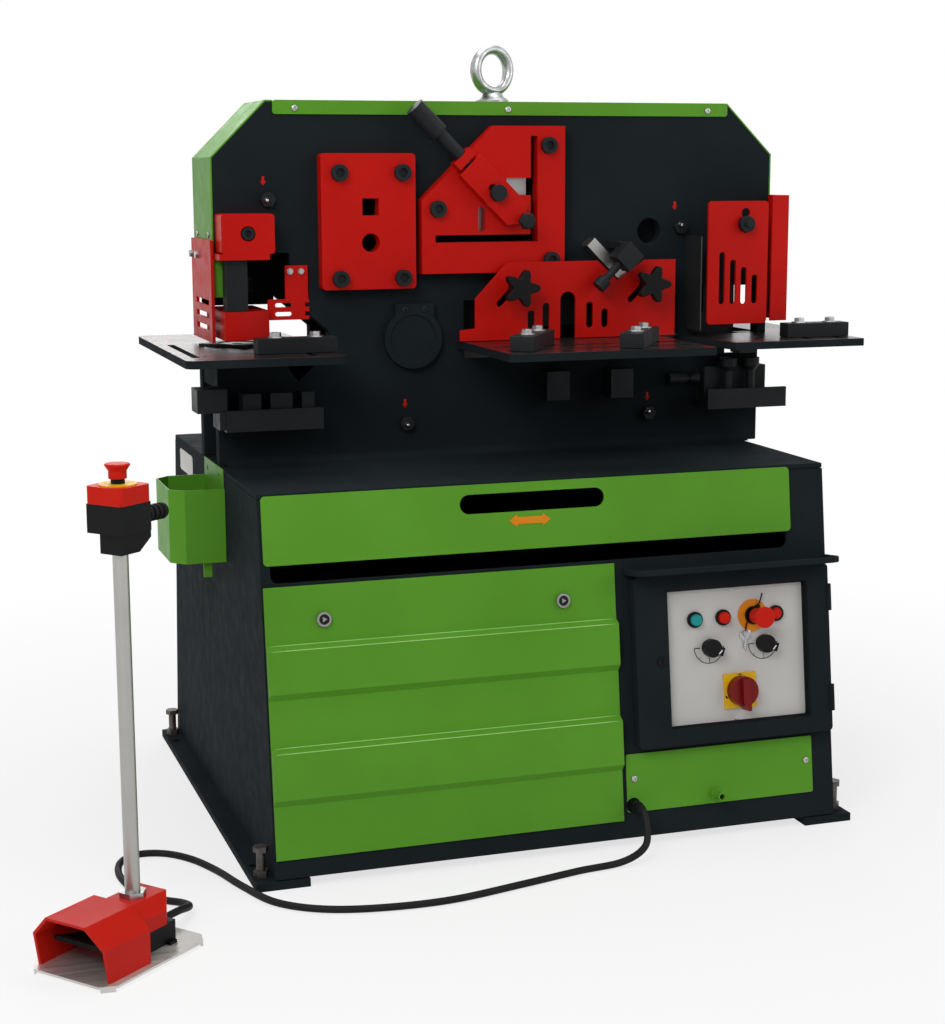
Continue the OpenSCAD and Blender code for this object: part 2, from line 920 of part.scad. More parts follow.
// main pivot pin with its cover disc and locking tab
module pivot_pin() {
  color(black) {
    bar_y(pivot_x, pivot_z, front_y0, back_y1, pivot_r);
    difference() {
      union() {
        bar_y(pivot_x, pivot_z, front_y0 - 14, front_y0, pivot_cap_r);
        slab(front_y0 - 12, front_y0)
          box2(pivot_x - 36, pivot_z, pivot_x + 43, pivot_z + 68);
      }
      bar_y(pivot_x, pivot_z, front_y0 - 15, front_y0 - 11, pivot_cap_r - 12);
    }
  }
}

// fixed tools: bar and angle blades, lower shear blade, notching die and punch die
module fixed_blades() {
  y1 = beam_y0 - slide_c;
  color(steel) {
    slab(front_y0, y1)
      difference() {
        box2(bar_blade[0], bar_blade[1], bar_blade[2], bar_blade[3]);
        bar_holes(0);
      }
    slab(front_y0, y1)
      difference() {
        angle_blade();
        angle_slot(0);
      }
    slab(front_y0, y1)
      box2(shear_x0, shear_z - 36, shear_x1, shear_z);
    slab(front_y0, y1)
      difference() {
        box2(notch_x0, table_z - 42, notch_x1, table_z);
        box2(notch_x0 + 38, table_z - 43, notch_x1 - 38, table_z + 1);
      }
    difference() {
      translate([-punch_x, head_y, jaw_z])
        cylinder(h = die_top - jaw_z, r = die_r);
      translate([-punch_x, head_y, jaw_z - 1])
        cylinder(h = die_top - jaw_z + 2, r = die_hole_r);
    }
  }
}

module bar_holes(more) {
  h = bar_sq / 2 + more;
  box2(bar_x - h, bar_sq_z - h, bar_x + h, bar_sq_z + h);
  translate([bar_x, bar_rd_z])
    circle(bar_r + more);
}

module angle_slot(more) {
  box2(angle_x - more, angle_z - more, angle_x + angle_w + more, angle_top + more);
  box2(angle_left - more, angle_z - more, angle_x + angle_w + more, angle_z + angle_w + more);
}

// the angle blade's outline, its upper corner cut along the station plate's slope
module angle_blade() {
  polygon([[angle_bx0, angle_bz0], [angle_bx1, angle_bz0], [angle_bx1, angle_bz1],
    [angle_px0 + angle_cut - 4, angle_bz1], [angle_bx0, angle_pz1 - angle_cut - 7]]);
}

// rocking beam: punch fork, blade pockets and the arm down to the cylinder
module beam() {
  nose_x = -punch_x - 31;
  shear_lift = 44;
  color(black)
    difference() {
      union() {
        slab(beam_y0, beam_y1)
          polygon([[nose_x, jaw_top_z + 80], [throat_x - 10, jaw_top_z + 80], [throat_x + 75, pivot_z + 138],
            [bar_x - 3, pivot_z + 38], [pivot_x, pivot_z - boss_r], [pivot_x + 90, pivot_z - 30],
            [shear_x0 - 12, shear_z + 64], [notch_x0 - 20, shear_z + 100], [notch_x0 - 8, notch_top_z + 2],
            [notch_x1 - 16, notch_top_z + 2], [notch_x1 - 16, notch_top_z + 90],
            [angle_px1 + 109, head_top - 90], [angle_px1 - 1, head_top - 36], [bar_px1 - 17, head_top - 48],
            [bar_px0 + 18, head_top - 100], [throat_x - 15, jaw_top_z + 132], [nose_x, jaw_top_z + 132]]);
        bar_y(pivot_x, pivot_z, beam_y0, beam_y1, boss_r);
        slab(beam_y0, beam_y1)
          polygon([[pivot_x - 60, pivot_z], [pivot_x - 34, base_h - 18], [pivot_x + 34, base_h - 18],
            [pivot_x + 60, pivot_z]]);
        slab(head_y - arm_tongue / 2, head_y + arm_tongue / 2)
          box2(pivot_x - 26, arm_z - 4, pivot_x + 26, base_h - 16);
        bar_y(pivot_x, arm_z, head_y - arm_tongue / 2, head_y + arm_tongue / 2, 26);
      }
      bar_y(pivot_x, pivot_z, beam_y0 - 1, beam_y1 + 1, pivot_r + bush_c);
      bar_y(pivot_x, arm_z, beam_y0, beam_y1, link_hole_r);
      slab(head_y - fork_gap / 2, head_y + fork_gap / 2)
        box2(nose_x - 1, jaw_top_z + 60, -punch_x + 56, jaw_top_z + 150);
      slab(beam_y0 - 1, beam_y1 + 1) {
        slot2([nose_x - 12, ram_pin_z], [-punch_x + 22, ram_pin_z], ram_pin_r + 1.2);
        bar_holes(6);
        angle_slot(8);
      }
      slab(beam_y0 - 1, beam_y0 + blade_t) {
        box2(bar_blade[0], bar_blade[1], bar_blade[2], bar_blade[3]);
        angle_blade();
      }
      slab(beam_y0 - 1, beam_y0 + blade_t)
        shear_outline();
    }
}

// upper shear blade, with the rake that its swing takes up
module shear_outline() {
  drop0 = (shear_x0 - pivot_x) * tan(swing) - 3;
  drop1 = (shear_x1 - pivot_x) * tan(swing) - 3;
  polygon([[shear_x0 + 6, shear_z + drop0], [shear_x1 - 6, shear_z + drop1], [shear_x1 - 6, shear_z + 124],
    [shear_x0 + 6, shear_z + 94]]);
}

// moving tools, pocketed in the beam
module beam_blades() {
  notch_drop = (notch_x0 + 70 - pivot_x) * tan(swing) - 4;
  color(steel) {
    slab(beam_y0, beam_y0 + blade_t)
      difference() {
        box2(bar_blade[0], bar_blade[1], bar_blade[2], bar_blade[3]);
        bar_holes(0.5);
      }
    slab(beam_y0, beam_y0 + blade_t)
      difference() {
        angle_blade();
        angle_slot(0.5);
      }
    slab(beam_y0, beam_y0 + blade_t)
      shear_outline();
    slab(beam_y0, beam_y1)
      box2(notch_x0 + 44, table_z + notch_drop, notch_x1 - 44, notch_top_z + 2);
  }
}

// ram with its cross pin, coupling nut and punch
module punch_ram() {
  color(steel)
    translate([-punch_x, head_y, 0]) {
      translate([0, 0, coupling_z0])
        cylinder(h = ram_top - coupling_z0, r = ram_r);
      translate([0, 0, coupling_z0])
        cylinder(h = coupling_z1 - coupling_z0 - 8, r = ram_r + 8);
      translate([0, 0, punch_tip])
        cylinder(h = coupling_z0 - punch_tip + 1, r = punch_r);
      translate([0, 0, coupling_z0 - 12])
        cylinder(h = 13, r1 = punch_r, r2 = ram_r);
      translate([0, beam_t / 2 - 2, ram_pin_z])
        rotate([90, 0, 0])
          cylinder(h = beam_t - 4, r = ram_pin_r);
    }
}

// cylinder rod with its clevis, and the stroke rod that it carries forward to the slot
module cylinder_rod() {
  y0 = head_y - arm_tongue / 2 - clevis_c;
  y1 = head_y + arm_tongue / 2 + clevis_c;
  rod_y = front_y(slot_mid_z) + 34;
  color(steel) {
    bar_x_at(head_y, arm_z, pivot_x + 40, barrel_x0 + 120, rod_r);
    slab(y0 - clevis_t, y0)
      box2(pivot_x - 24, arm_z - 20, pivot_x + 60, arm_z + 20);
    slab(y1, y1 + clevis_t)
      box2(pivot_x - 24, arm_z - 20, pivot_x + 60, arm_z + 20);
    slab(y0 - clevis_t, y1 + clevis_t)
      box2(pivot_x + 44, arm_z - 20, pivot_x + 64, arm_z + 20);
    bar_y(pivot_x, arm_z, y0 - clevis_t, y1 + clevis_t, link_pin_r);
    slab(rod_y - 6, y0 - clevis_t)
      box2(pivot_x - 20, slot_mid_z - 10, pivot_x + 4, arm_z + 20);
    bar_x_at(rod_y, slot_mid_z, slot_mid_x - 165, slot_mid_x + 165, 8);
    bar_x_at(rod_y, slot_mid_z, slot_mid_x - 112, slot_mid_x - 80, 15);
    bar_x_at(rod_y, slot_mid_z, slot_mid_x + 70, slot_mid_x + 102, 15);
  }
}

// tank, motor, pump and the cylinder's barrel
module hydraulic_unit() {
  z0 = foot_t + frame_t;
  color([0.25, 0.27, 0.28]) {
    difference() {
      union() {
        bar_x_at(head_y, arm_z, barrel_x0, barrel_x1, barrel_r);
        for (x = [barrel_x0 + 30, barrel_x1 - 70])
          translate([x, head_y - 34, arm_z])
            cube([40, 68, under_top - arm_z]);
      }
      bar_x_at(head_y, arm_z, barrel_x0 - 1, barrel_x0 + 180, rod_r + run_c);
    }
    translate([130, -300, z0])
      cube([370, 560, 150]);
    translate([-260, -200, z0])
      cube([260, 200, 30]);
    bar_x_at(-100, z0 + 120, -250, 30, 90);
    bar_x_at(-100, z0 + 120, 30, 130, 45);
  }
}

// main plate of each red station, bolted to the head's face
module bar_shear_plate() {
  color(red)
    slab(red_y, front_y0)
      difference() {
        round2(bar_px0, bar_pz0, bar_px1, bar_pz1, 8);
        bar_holes(0);
      }
}

module angle_shear_plate() {
  color(red) {
    slab(red_y, front_y0)
      difference() {
        polygon([[angle_px0, angle_pz0], [angle_px1, angle_pz0], [angle_px1, angle_pz1],
          [angle_px0 + angle_cut + 6, angle_pz1], [angle_px0, angle_pz1 - angle_cut]]);
        angle_slot(0);
        slot2([angle_px0 + 121, angle_z + angle_w + 14], [angle_px0 + 121, angle_z + 60], 8);
        box2(angle_x - 50, hold_z - 2, angle_x + 1, hold_z + 31);
      }
    difference() {
      on_hold()
        translate([-hold_l / 2 - 24, -hold_t, -22])
          cube([18, hold_t, 44]);
      on_hold()
        translate([-hold_l / 2 - 25, -hold_t / 2, 0])
          rotate([0, 90, 0])
            cylinder(h = 30, r = hold_screw_r + run_c);
    }
  }
}

// frame of the hold-down: X down its slope to the right, Y to the back, Z across it
module on_hold() {
  translate([hold_x, red_y, hold_z])
    rotate([0, 45, 0])
      children();
}

// hold-down bar with a V end, a clamp slot and the bore of its screw
module hold_down_bar() {
  color(red)
    on_hold()
      difference() {
        translate([0, -slide_c, 0])
          rotate([90, 0, 0])
            linear_extrude(hold_t - slide_c)
              polygon([[-hold_l / 2, -hold_w / 2], [hold_l / 2 - 26, -hold_w / 2], [hold_l / 2, 0],
                [hold_l / 2 - 26, hold_w / 2], [-hold_l / 2, hold_w / 2]]);
        translate([0, 1, 0])
          rotate([90, 0, 0])
            linear_extrude(hold_t + 4)
              slot2([hold_stud_x - hold_run - 1, 0], [hold_stud_x + 1, 0], stud_r + 1);
        translate([-hold_l / 2 - 1, -hold_t / 2, 0])
          rotate([0, 90, 0])
            cylinder(h = 52, r = hold_screw_r + run_c);
      }
}

// captive hold-down screw with its grip
module hold_down_screw() {
  x0 = -hold_l / 2 - 24;
  color(black)
    on_hold()
      translate([0, -hold_t / 2, 0])
        rotate([0, 90, 0]) {
          translate([0, 0, x0 - 20])
            cylinder(h = 66, r = hold_screw_r);
          translate([0, 0, x0 - 60])
            cylinder(h = 59.5, r = 13);
          translate([0, 0, x0 - 128])
            cylinder(h = 68, r = 19);
        }
}

// station bolts, grease nuts, guard studs, stripper post, hold-down bar and setting block
module frame_fittings() {
  color(black) {
    for (x = [bar_x - 61, bar_x + 62])
      for (z = [bar_pz1 - 36, bar_pz0 + 21])
        cap_y(x, z, red_y, 12, cap_r);
    cap_y(angle_px1 - 35, angle_pz1 - 37, red_y, 12, cap_r);
    cap_y(angle_px0 + 31, angle_pz1 - angle_cut - 17, red_y, 12, cap_r);
    cap_y(angle_px1 - 29, angle_pz0 + 23, red_y, 12, cap_r);
    for (p = [[guide_x1 - 5, jaw_top_z + 100], [pivot_x - 13, base_h + 67], [shear_x1 - 64, base_h + 66],
        [shear_x1 + 1, table_z + 218]])
      hex_y(p[0], p[1], front_y0 - 12, front_y0, 26);
    on_hold()
      translate([hold_stud_x, 0, 0])
        rotate([90, 0, 0]) {
          cylinder(h = hold_t + 4, r = stud_r);
          translate([0, 0, hold_t + 0.5])
            cylinder(h = 14, r = 16);
        }
    for (p = [knob_l, knob_r]) {
      bar_y(p[0], p[1], guard_y - 34, front_y0, stud_r);
      bar_y(p[0], p[1], guard_y + slide_c, front_y0, 14);
    }
    translate([-punch_x, head_y, table_z])
      linear_extrude(die_top - table_z + 2)
        difference() {
          polygon([[-75, 0], [0, -75], [75, 0], [0, 75]]);
          circle(die_r + seat_c);
        }
    translate([-punch_x - 45, front_y0 - 46, foot_z1])
      cube([40, 36, jaw_top_z - 9 - foot_z1]);
    translate([set_x, set_y, set_z])
      rotate([0, 45, 0])
        translate([-set_half, -set_half, -set_half])
          cube([2 * set_half, 2 * set_half, 2 * set_half]);
    translate([set_x - 12, set_y, set_z + 14])
      cube([24, front_y0 - set_y, 14]);
    translate([set_x, set_y, set_z])
      rotate([0, -135, 0]) {
        cylinder(h = 68, r = 8);
        translate([0, 0, 62])
          difference() {
            cylinder(h = 22, r = 14);
            translate([0, 0, 12])
              cylinder(h = 11, r = 7, $fn = 6);
          }
      }
    translate([set_x, front_y0 - 36, set_z])
      rotate([0, 45, 0])
        translate([-62, 0, -34])
          cube([100, 36, 22]);
    bar_y(notch_stud[0], notch_stud[1], front_y0 - 104, front_y0, stud_r);
    bar_y(notch_stud[0], notch_stud[1], notch_guard_y + slide_c, front_y0, 13);
    bar_y(notch_stud[0], notch_stud[1], notch_guard_y - guard_t - slide_c - 15, notch_guard_y - guard_t - slide_c, 16);
  }
}

// stripper: bracket on the upper jaw and the forked foot round the punch
module stripper() {
  y0 = front_y0 - 60;
  color(red) {
    difference() {
      slab(y0, front_y0)
        round2(-punch_x - 55, jaw_top_z + 2, -punch_x + 45, jaw_top_z + 75, 6);
      bar_y(-punch_x - 5, jaw_top_z + 39, y0 - 1, y0 + 8, 14);
    }
    translate([-punch_x - 60, y0, jaw_top_z - 9])
      cube([95, 60, 11]);
    difference() {
      translate([0, 0, foot_z0])
        linear_extrude(foot_z1 - foot_z0)
          difference() {
            polygon([[-punch_x - 50, front_y0 - 50], [-punch_x - 2, front_y0 - 50], [-punch_x + 40, front_y0 - 20],
              [-punch_x + 40, head_y + 40], [-punch_x - 50, head_y + 40]]);
            translate([-punch_x, head_y])
              circle(punch_r + 4);
            box2(-punch_x - punch_r - 4, head_y, -punch_x + punch_r + 4, head_y + 41);
          }
      translate([-punch_x, head_y, foot_z1 - 20])
        cylinder(h = 21, r = ram_r + 12);
    }
  }
}

// fixed sheet guards: left of the punch, inside its throat, and both sides of the notcher
module side_guards() {
  x = -head_l - sheet;
  color(red) {
    difference() {
      translate([x - guard_t, front_y0 - 12, table_z + 14])
        cube([guard_t, head_d + 12, 190]);
      for (k = [0:2])
        translate([x - guard_t - 1, front_y0 + 16, table_z + 34 + 24 * k])
          cube([guard_t + 2, 128, 10]);
    }
    slab(front_y0 - guard_t, front_y0)
      difference() {
        union() {
          round2(throat_x - 10, jaw_z + 100, throat_x + 34, jaw_z + 170, 3);
          round2(throat_x - 44, jaw_z + 68, throat_x + 36, jaw_z + 107, 3);
        }
        for (k = [0, 1]) {
          slot2([throat_x - 26, jaw_z + 79 + 17 * k], [throat_x - 2, jaw_z + 79 + 17 * k], 4);
          box2(throat_x + 28, jaw_z + 75 + 17 * k, throat_x + 37, jaw_z + 83 + 17 * k);
        }
      }
    translate([notch_x0 - 17, front_y0 - 74, table_z + 14])
      cube([3, 74, 186]);
    translate([notch_x1 - 10, front_y0 - 80, table_z + 30])
      cube([36, guard_t, 250]);
    difference() {
      translate([notch_x1 + 26 - guard_t, front_y0 - 80 + guard_t, table_z + 30])
        cube([guard_t, 80 - guard_t, 250]);
      for (k = [0:4])
        translate([notch_x1 + 25 - guard_t, front_y0 - 66, table_z + 52 + 26 * k])
          cube([guard_t + 2, 52, 11]);
    }
  }
}

// guard of the plate shear, sliding up its two sloping slots
module plate_guard() {
  run = guard_run + 14;
  top = 151;
  arch = 16;
  color(red)
    slab(guard_y - guard_t, guard_y)
      difference() {
        polygon([[guard_x0 - 31, shear_z + 1], [guard_x1, shear_z + 1], [guard_x1, shear_z + top],
          [guard_x1 - 66, shear_z + top], [guard_x1 - 124, shear_z + 112], [guard_x1 - 167, shear_z + top],
          [guard_x0 + 66, shear_z + top], [guard_x0, shear_z + 82], [guard_x0, shear_z + 25],
          [guard_x0 - 31, shear_z + 22]]);
        for (p = [knob_l, knob_r])
          slot2([p[0] - run * 0.7, p[1] - run * 0.7], p, stud_r + slide_c);
        box2(guard_slot_x - arch, shear_z, guard_slot_x + arch, shear_z + 76);
        translate([guard_slot_x, shear_z + 76])
          circle(arch);
        for (s = [[-77, 28, 50], [-46, 23, 64], [46, 27, 64], [78, 27, 50]])
          slot2([guard_slot_x + s[0], shear_z + s[1]], [guard_slot_x + s[0], shear_z + s[2]], 7);
      }
}

// star knob: five broad lobes with hollow sides on a long hub, closed in front
module star_knob(p) {
  r = 20;
  lobe = 17;
  hub_l = 30;
  star_t = 18;
  color(black)
    translate([p[0], guard_y - guard_t - slide_c, p[1]])
      rotate([90, 0, 0])
        difference() {
          union() {
            cylinder(h = hub_l + 1, r = 14);
            translate([0, 0, hub_l])
              linear_extrude(star_t)
                polygon([for (a = [0:6:354])
                  (r + lobe * pow(0.5 + 0.5 * cos(5 * a), 1.2)) * [cos(a), sin(a)]]);
          }
          translate([0, 0, -1])
            cylinder(h = hub_l + 5, r = stud_r + run_c);
        }
}

module guard_knob_left() {
  star_knob(knob_l);
}

module guard_knob_right() {
  star_knob(knob_r);
}

// notcher's front guard, hung on one stud
module notch_guard() {
  color(red)
    slab(notch_guard_y - guard_t, notch_guard_y)
      difference() {
        round2(notch_x0 - 5, table_z + 26, notch_x1 - 20, notch_stud[1] + 45, 6);
        for (k = [0:3])
          slot2([notch_x0 + 26 + 24 * k, table_z + 53], [notch_x0 + 26 + 24 * k, table_z + 98 + 16 * k], 6);
        slot2([notch_stud[0], notch_stud[1] - notch_run - 1], notch_stud, stud_r + 1);
        translate([notch_stud[0], notch_stud[1] - notch_run - 14])
          circle(11);
      }
}

// punch table with its left slots and the die opening
module punch_table() {
  color(grey)
    translate([0, 0, jaw_z])
      linear_extrude(table_t)
        difference() {
          round2(-640, -275, -342, 300, 20);
          translate([-punch_x, head_y])
            circle(die_r + 0.3);
          slot2([-612, -210], [-612, 60], 7);
          slot2([-400, -240], [-400, -130], 7);
        }
}

// plate table with two long slots
module plate_table() {
  y0 = front_y0 - plate_table_d;
  x0 = shear_x0 - 17;
  color(grey)
    translate([0, 0, shear_z - table_t])
      linear_extrude(table_t)
        difference() {
          round2(x0, y0, x0 + plate_table_w, front_y0, 3);
          for (y = [fence_l[1] - 37, fence_l[1] + 37])
            slot2([x0 + 24, y], [x0 + plate_table_w - 24, y], 7);
        }
}

// notch table wrapped round the right end of the head
module notch_table() {
  color(grey)
    translate([0, 0, jaw_z])
      linear_extrude(table_t)
        difference() {
          union() {
            polygon([[391, front_y0], [431, -272], [713, -272], [713, 312], [head_r, 312], [head_r, front_y0]]);
          }
          for (x = [606, 674])
            slot2([x, -245], [x, -130], 7);
        }
}

// fence bar with two clamp bolts
module fence(l, w, h) {
  translate([-l / 2, -w / 2, 0])
    cube([l, w, h]);
  for (x = [-l / 4, l / 4])
    translate([x, 0, h])
      hex_head(19, 10);
}

module plate_fence_left() {
  color(black)
    translate([fence_l[0], fence_l[1], shear_z + seat_c])
      rotate(fence_turn)
        fence(176, 46, 28);
}

module plate_fence_right() {
  color(black)
    translate([fence_r[0], fence_r[1], shear_z + seat_c])
      rotate(fence_turn)
        fence(176, 46, 28);
}

module punch_fence() {
  color(black)
    translate([-420, -176, table_z + seat_c])
      fence(150, 40, 28);
}

module notch_fence() {
  color(black)
    translate([640, -200, table_z + seat_c])
      fence(136, 36, 28);
}

// tray on the head's face, a deep front with a floor behind it
module tray(x0, x1, z0, z1, d) {
  translate([x0, front_y0 - d, z0])
    cube([x1 - x0, 8, z1 - z0]);
  translate([x0, front_y0 - d, z0])
    cube([x1 - x0, d, 8]);
}

// spare tools in two trays, a stored pin, and the blocks under the plate table
module tool_trays() {
  left_z = base_h + 75;
  right_z = base_h + 76;
  color(black) {
    tray(-head_l, throat_x + 42, left_z, left_z + 40, 80);
    translate([-head_l - 52, front_y0 - 72, left_z + 36])
      cube([56, 60, 44]);
    translate([-head_l - 12, front_y0 - 78, left_z + 4])
      cube([16, 66, 34]);
    for (s = [[36, 34], [88, 42], [148, 24]])
      translate([-head_l + s[0], front_y0 - 62, left_z + 6])
        cube([s[1], 44, 62]);
    tray(notch_x0 + 6, head_r + 14, right_z, right_z + 40, 70);
    translate([notch_x0 + 18, front_y0 - 26, right_z + 6])
      cube([head_r - notch_x0 - 30, 26, 76]);
    for (x = [notch_x0 + 62, notch_x0 + 112])
      translate([x, front_y0 - 44, right_z + 6]) {
        cylinder(h = 74, r = 9);
        translate([0, 0, 68])
          cylinder(h = 10, r1 = 9, r2 = 18);
        translate([0, 0, 78])
          cylinder(h = 16, r = 18);
      }
    bar_x_at(front_y0 - 13, right_z + 58, notch_x0 - 57, notch_x0 - 18, 12);
    bar_x_at(front_y0 - 13, right_z + 58, notch_x0 - 20, notch_x0 - 8, 6);
    translate([notch_x0 - 9, front_y0 - 13, right_z + 58])
      rotate([0, 90, 0])
        cylinder(h = 18, r1 = 8, r2 = 13);
    bar_y(notch_x0 - 40, right_z + 58, front_y0 - 13, front_y0, 6);
    for (x = [guard_x0 + 148, guard_x0 + 284])
      translate([x, front_y0 - 48, base_h + 105])
        cube([48, 48, 57]);
  }
}

// slug bucket hung on the left panel
module tool_bucket() {
  rim = base_h - 34;
  color(green) {
    difference() {
      bucket_body(0, rim);
      bucket_body(sheet, rim + 1);
    }
    difference() {
      translate([-half_w - sheet, bucket_y0 + 6, rim - 8])
        cube([sheet, bucket_y1 - bucket_y0 - 12, 44]);
      for (y = [bucket_y0 + 40, bucket_y1 - 40])
        bar_x_at(y, rim + 18, -half_w - sheet - 1, -half_w + 1, 6);
    }
    translate([-half_w - bucket_d * 0.4, bucket_y0 + 14, rim - bucket_h - 30])
      cube([16, 4, 34]);
  }
}

// the bucket as a block whose outer corners are cut
module bucket_body(in, top) {
  x0 = -half_w - bucket_d + in;
  x1 = -half_w - in;
  z0 = base_h - 34 - bucket_h + in;
  c = bucket_cut - in * 0.6;
  translate([0, 0, z0])
    linear_extrude(top - z0)
      polygon([[x1, bucket_y0 + in], [x1, bucket_y1 - in], [x0 + c, bucket_y1 - in], [x0, bucket_y1 - in - c],
        [x0, bucket_y0 + in + c], [x0 + c, bucket_y0 + in]]);
}

// gland that the pedal's cord leaves by
module cord_gland() {
  color(black)
    on_front()
      translate([gland_x, up(gland_z), 0])
        difference() {
          union() {
            cylinder(h = 12, r = gland_r, $fn = 6);
            cylinder(h = gland_l, r = gland_r - 2);
          }
          translate([0, 0, 4])
            cylinder(h = gland_l, r = cord_r + run_c);
        }
}

// the pedal's drawing board: Y from the toe opening to the heel, Z up
module on_pedal() {
  translate([pedal_x, pedal_y, 0])
    rotate(pedal_turn)
      children();
}

// route of the cord: out of the gland, along the floor and round to the pedal's heel
gland_dir = [0, -cos(lean), sin(lean)];
gland_out = [gland_x, front_y(gland_z), gland_z];
pedal_dir = [-sin(pedal_turn), cos(pedal_turn), 0];
heel = [pedal_x, pedal_y, 0] + (post_y + rear_l / 2) * pedal_dir;
route = concat(
  [for (d = [6, 32, 46]) gland_out + d * gland_dir],
  [[130, -558, 62], [118, -580, 30], [70, -590, 10], [-20, -600, 7], [-137, -628, 7], [-276, -657, 7],
    [-399, -653, 7], [-497, -626, 7], [-566, -570, 7], [-604, -480, 7], [-632, -390, 7],
    [-664, -318, 7], [-704, -272, 7], [-750, -258, 7], [-786, -282, 7], [-801, -334, 7], [-797, -396, 7],
    [-778, -456, 7], [-746, -500, 8], [-720, -530, 11], [-714, -565, 17]],
  [for (d = [66, 34, 2]) heel + d * pedal_dir + [0, 0, 28]]);

// smooth points between the chosen ones
function blend(p, k, t) =
  let (a = p[max(k - 1, 0)], b = p[k], c = p[k + 1], d = p[min(k + 2, len(p) - 1)])
  0.5 * ((2 * b) + (c - a) * t + (2 * a - 5 * b + 4 * c - d) * t * t + (3 * b - a - 3 * c + d) * t * t * t);
function path(p, n) = concat([for (k = [0:len(p) - 2]) for (j = [0:n - 1]) blend(p, k, j / n)], [p[len(p) - 1]]);
function unit(v) = v / norm(v);
function heading(p, k) = unit(p[min(k + 1, len(p) - 1)] - p[max(k - 1, 0)]);

// a round tube along a path, as one skin of rings
module sweep(p, r, sides) {
  n = len(p);
  rings = [for (k = [0:n - 1])
    let (t = heading(p, k), u = unit(cross(t, abs(t[2]) < 0.9 ? [0, 0, 1] : [1, 0, 0])), v = cross(u, t))
    for (j = [0:sides - 1]) p[k] + r * (cos(360 * j / sides) * u + sin(360 * j / sides) * v)];
  walls = [for (k = [0:n - 2]) for (j = [0:sides - 1])
    let (a = k * sides + j, b = k * sides + (j + 1) % sides)
    each [[a, a + sides, b], [b, a + sides, b + sides]]];
  ends = [[for (j = [0:sides - 1]) j], [for (j = [sides - 1:-1:0]) (n - 1) * sides + j]];
  polyhedron(points = rings, faces = concat(walls, ends));
}

module pedal_cord() {
  color(black)
    sweep(path(route, 3), cord_r - 0.2, 10);
}

// floor plate of the pedal, its cut corners bent down as feet
module pedal_plate() {
  w = pedal_w / 2;
  l = pedal_l / 2;
  c = 20;
  color(steel)
    on_pedal() {
      translate([0, 0, pedal_z - pedal_plate_t])
        linear_extrude(pedal_plate_t)
          polygon([[-w + c, -l], [w - c, -l], [w, -l + c], [w, l - c], [w - c, l], [-w + c, l], [-w, l - c],
            [-w, -l + c]]);
      for (a = [-1, 1])
        for (b = [-1, 1])
          translate([a * (w - c / 2), b * (l - c / 2), 0])
            rotate(-45 * a * b)
              translate([-12, b > 0 ? -pedal_plate_t : 0, 0])
                cube([24, pedal_plate_t, pedal_z - 1]);
    }
}

// switch body behind the hood, with the socket of the post
module pedal_body() {
  color(black)
    on_pedal()
      difference() {
        translate([0, 0, pedal_z]) {
          translate([-rear_w / 2, post_y - rear_l / 2, 0])
            cube([rear_w, rear_l, rear_h - pedal_z]);
          translate([0, post_y, 0])
            cylinder(h = cap_top - pedal_z, r = pole_r + 4);
          translate([0, post_y, cap_top - pedal_z])
            hex_head(pole_r * 2 + 14, 9);
          translate([-rear_w / 2 - 8, post_y + rear_l / 2 - 22, 0])
            cube([rear_w + 16, 16, 5]);
          translate([0, post_y + rear_l / 2 - 1, 28 - pedal_z])
            rotate([-90, 0, 0])
              cylinder(h = 15, r = cord_r + 5);
        }
        translate([0, post_y, pedal_z + 20])
          cylinder(h = hood_h + 40, r = pole_r + run_c);
        translate([0, post_y + rear_l / 2 - 4, 28])
          rotate([-90, 0, 0])
            cylinder(h = 30, r = cord_r + run_c);
      }
}

// hood arched over the treadle
module pedal_hood() {
  y0 = -pedal_l / 2 + 18;
  y1 = post_y - rear_l / 2;
  y2 = post_y + rear_l / 2 + 2;
  cap_w = rear_w / 2 + 3;
  color([0.78, 0.16, 0.11])
    on_pedal() {
      difference() {
        hood_block(hood_w / 2, y0 - hood_lean, y1, hood_h, hood_cut);
        hood_block(hood_w / 2 - hood_wall, y0 - hood_lean - 1, y1 - hood_wall, hood_h - hood_wall,
          hood_cut - hood_wall * 0.6);
        along_x(-hood_w, hood_w)
          polygon([[y0 - hood_lean - 40, pedal_z - 2], [y0 + hood_lean * 0.02, pedal_z - 2],
            [y0 - hood_lean, hood_h + 1], [y0 - hood_lean - 40, hood_h + 1]]);
      }
      difference() {
        intersection() {
          hood_block(cap_w, y1 - 1, y2, cap_top, 22);
          translate([0, 0, rear_h])
            linear_extrude(hood_h)
              polygon([[-cap_w, y1 - 1], [cap_w, y1 - 1], [cap_w, y2 - 26], [cap_w - 22, y2], [-cap_w + 22, y2],
                [-cap_w, y2 - 26]]);
        }
        translate([0, post_y, rear_h - 1])
          cylinder(h = hood_h, r = pole_r + 4 + seat_c);
      }
    }
}

// a block with two sloping upper edges, between two depths of the pedal
module hood_block(w, y0, y1, h, c) {
  translate([0, y1, 0])
    rotate([90, 0, 0])
      linear_extrude(y1 - y0)
        polygon([[-w, pedal_z], [w, pedal_z], [w, h - c], [w - c, h], [-w + c, h], [-w, h - c]]);
}

// treadle inside the hood, hinged near the heel
module pedal_treadle() {
  y0 = -pedal_l / 2 + 40;
  y1 = post_y - rear_l / 2 - hood_wall - 6;
  color(black)
    on_pedal() {
      translate([0, y1, treadle_z - 4])
        rotate([90, 0, 90])
          translate([0, 0, -hood_w / 2 + 14])
            linear_extrude(hood_w - 28)
              polygon([[4, 0], [4, 8], [y0 - y1, 26], [y0 - y1, 18]]);
      translate([-hood_w / 2 + hood_wall + seat_c, y1, treadle_z])
        rotate([0, 90, 0])
          cylinder(h = hood_w - 2 * hood_wall - 2 * seat_c, r = 4);
    }
}

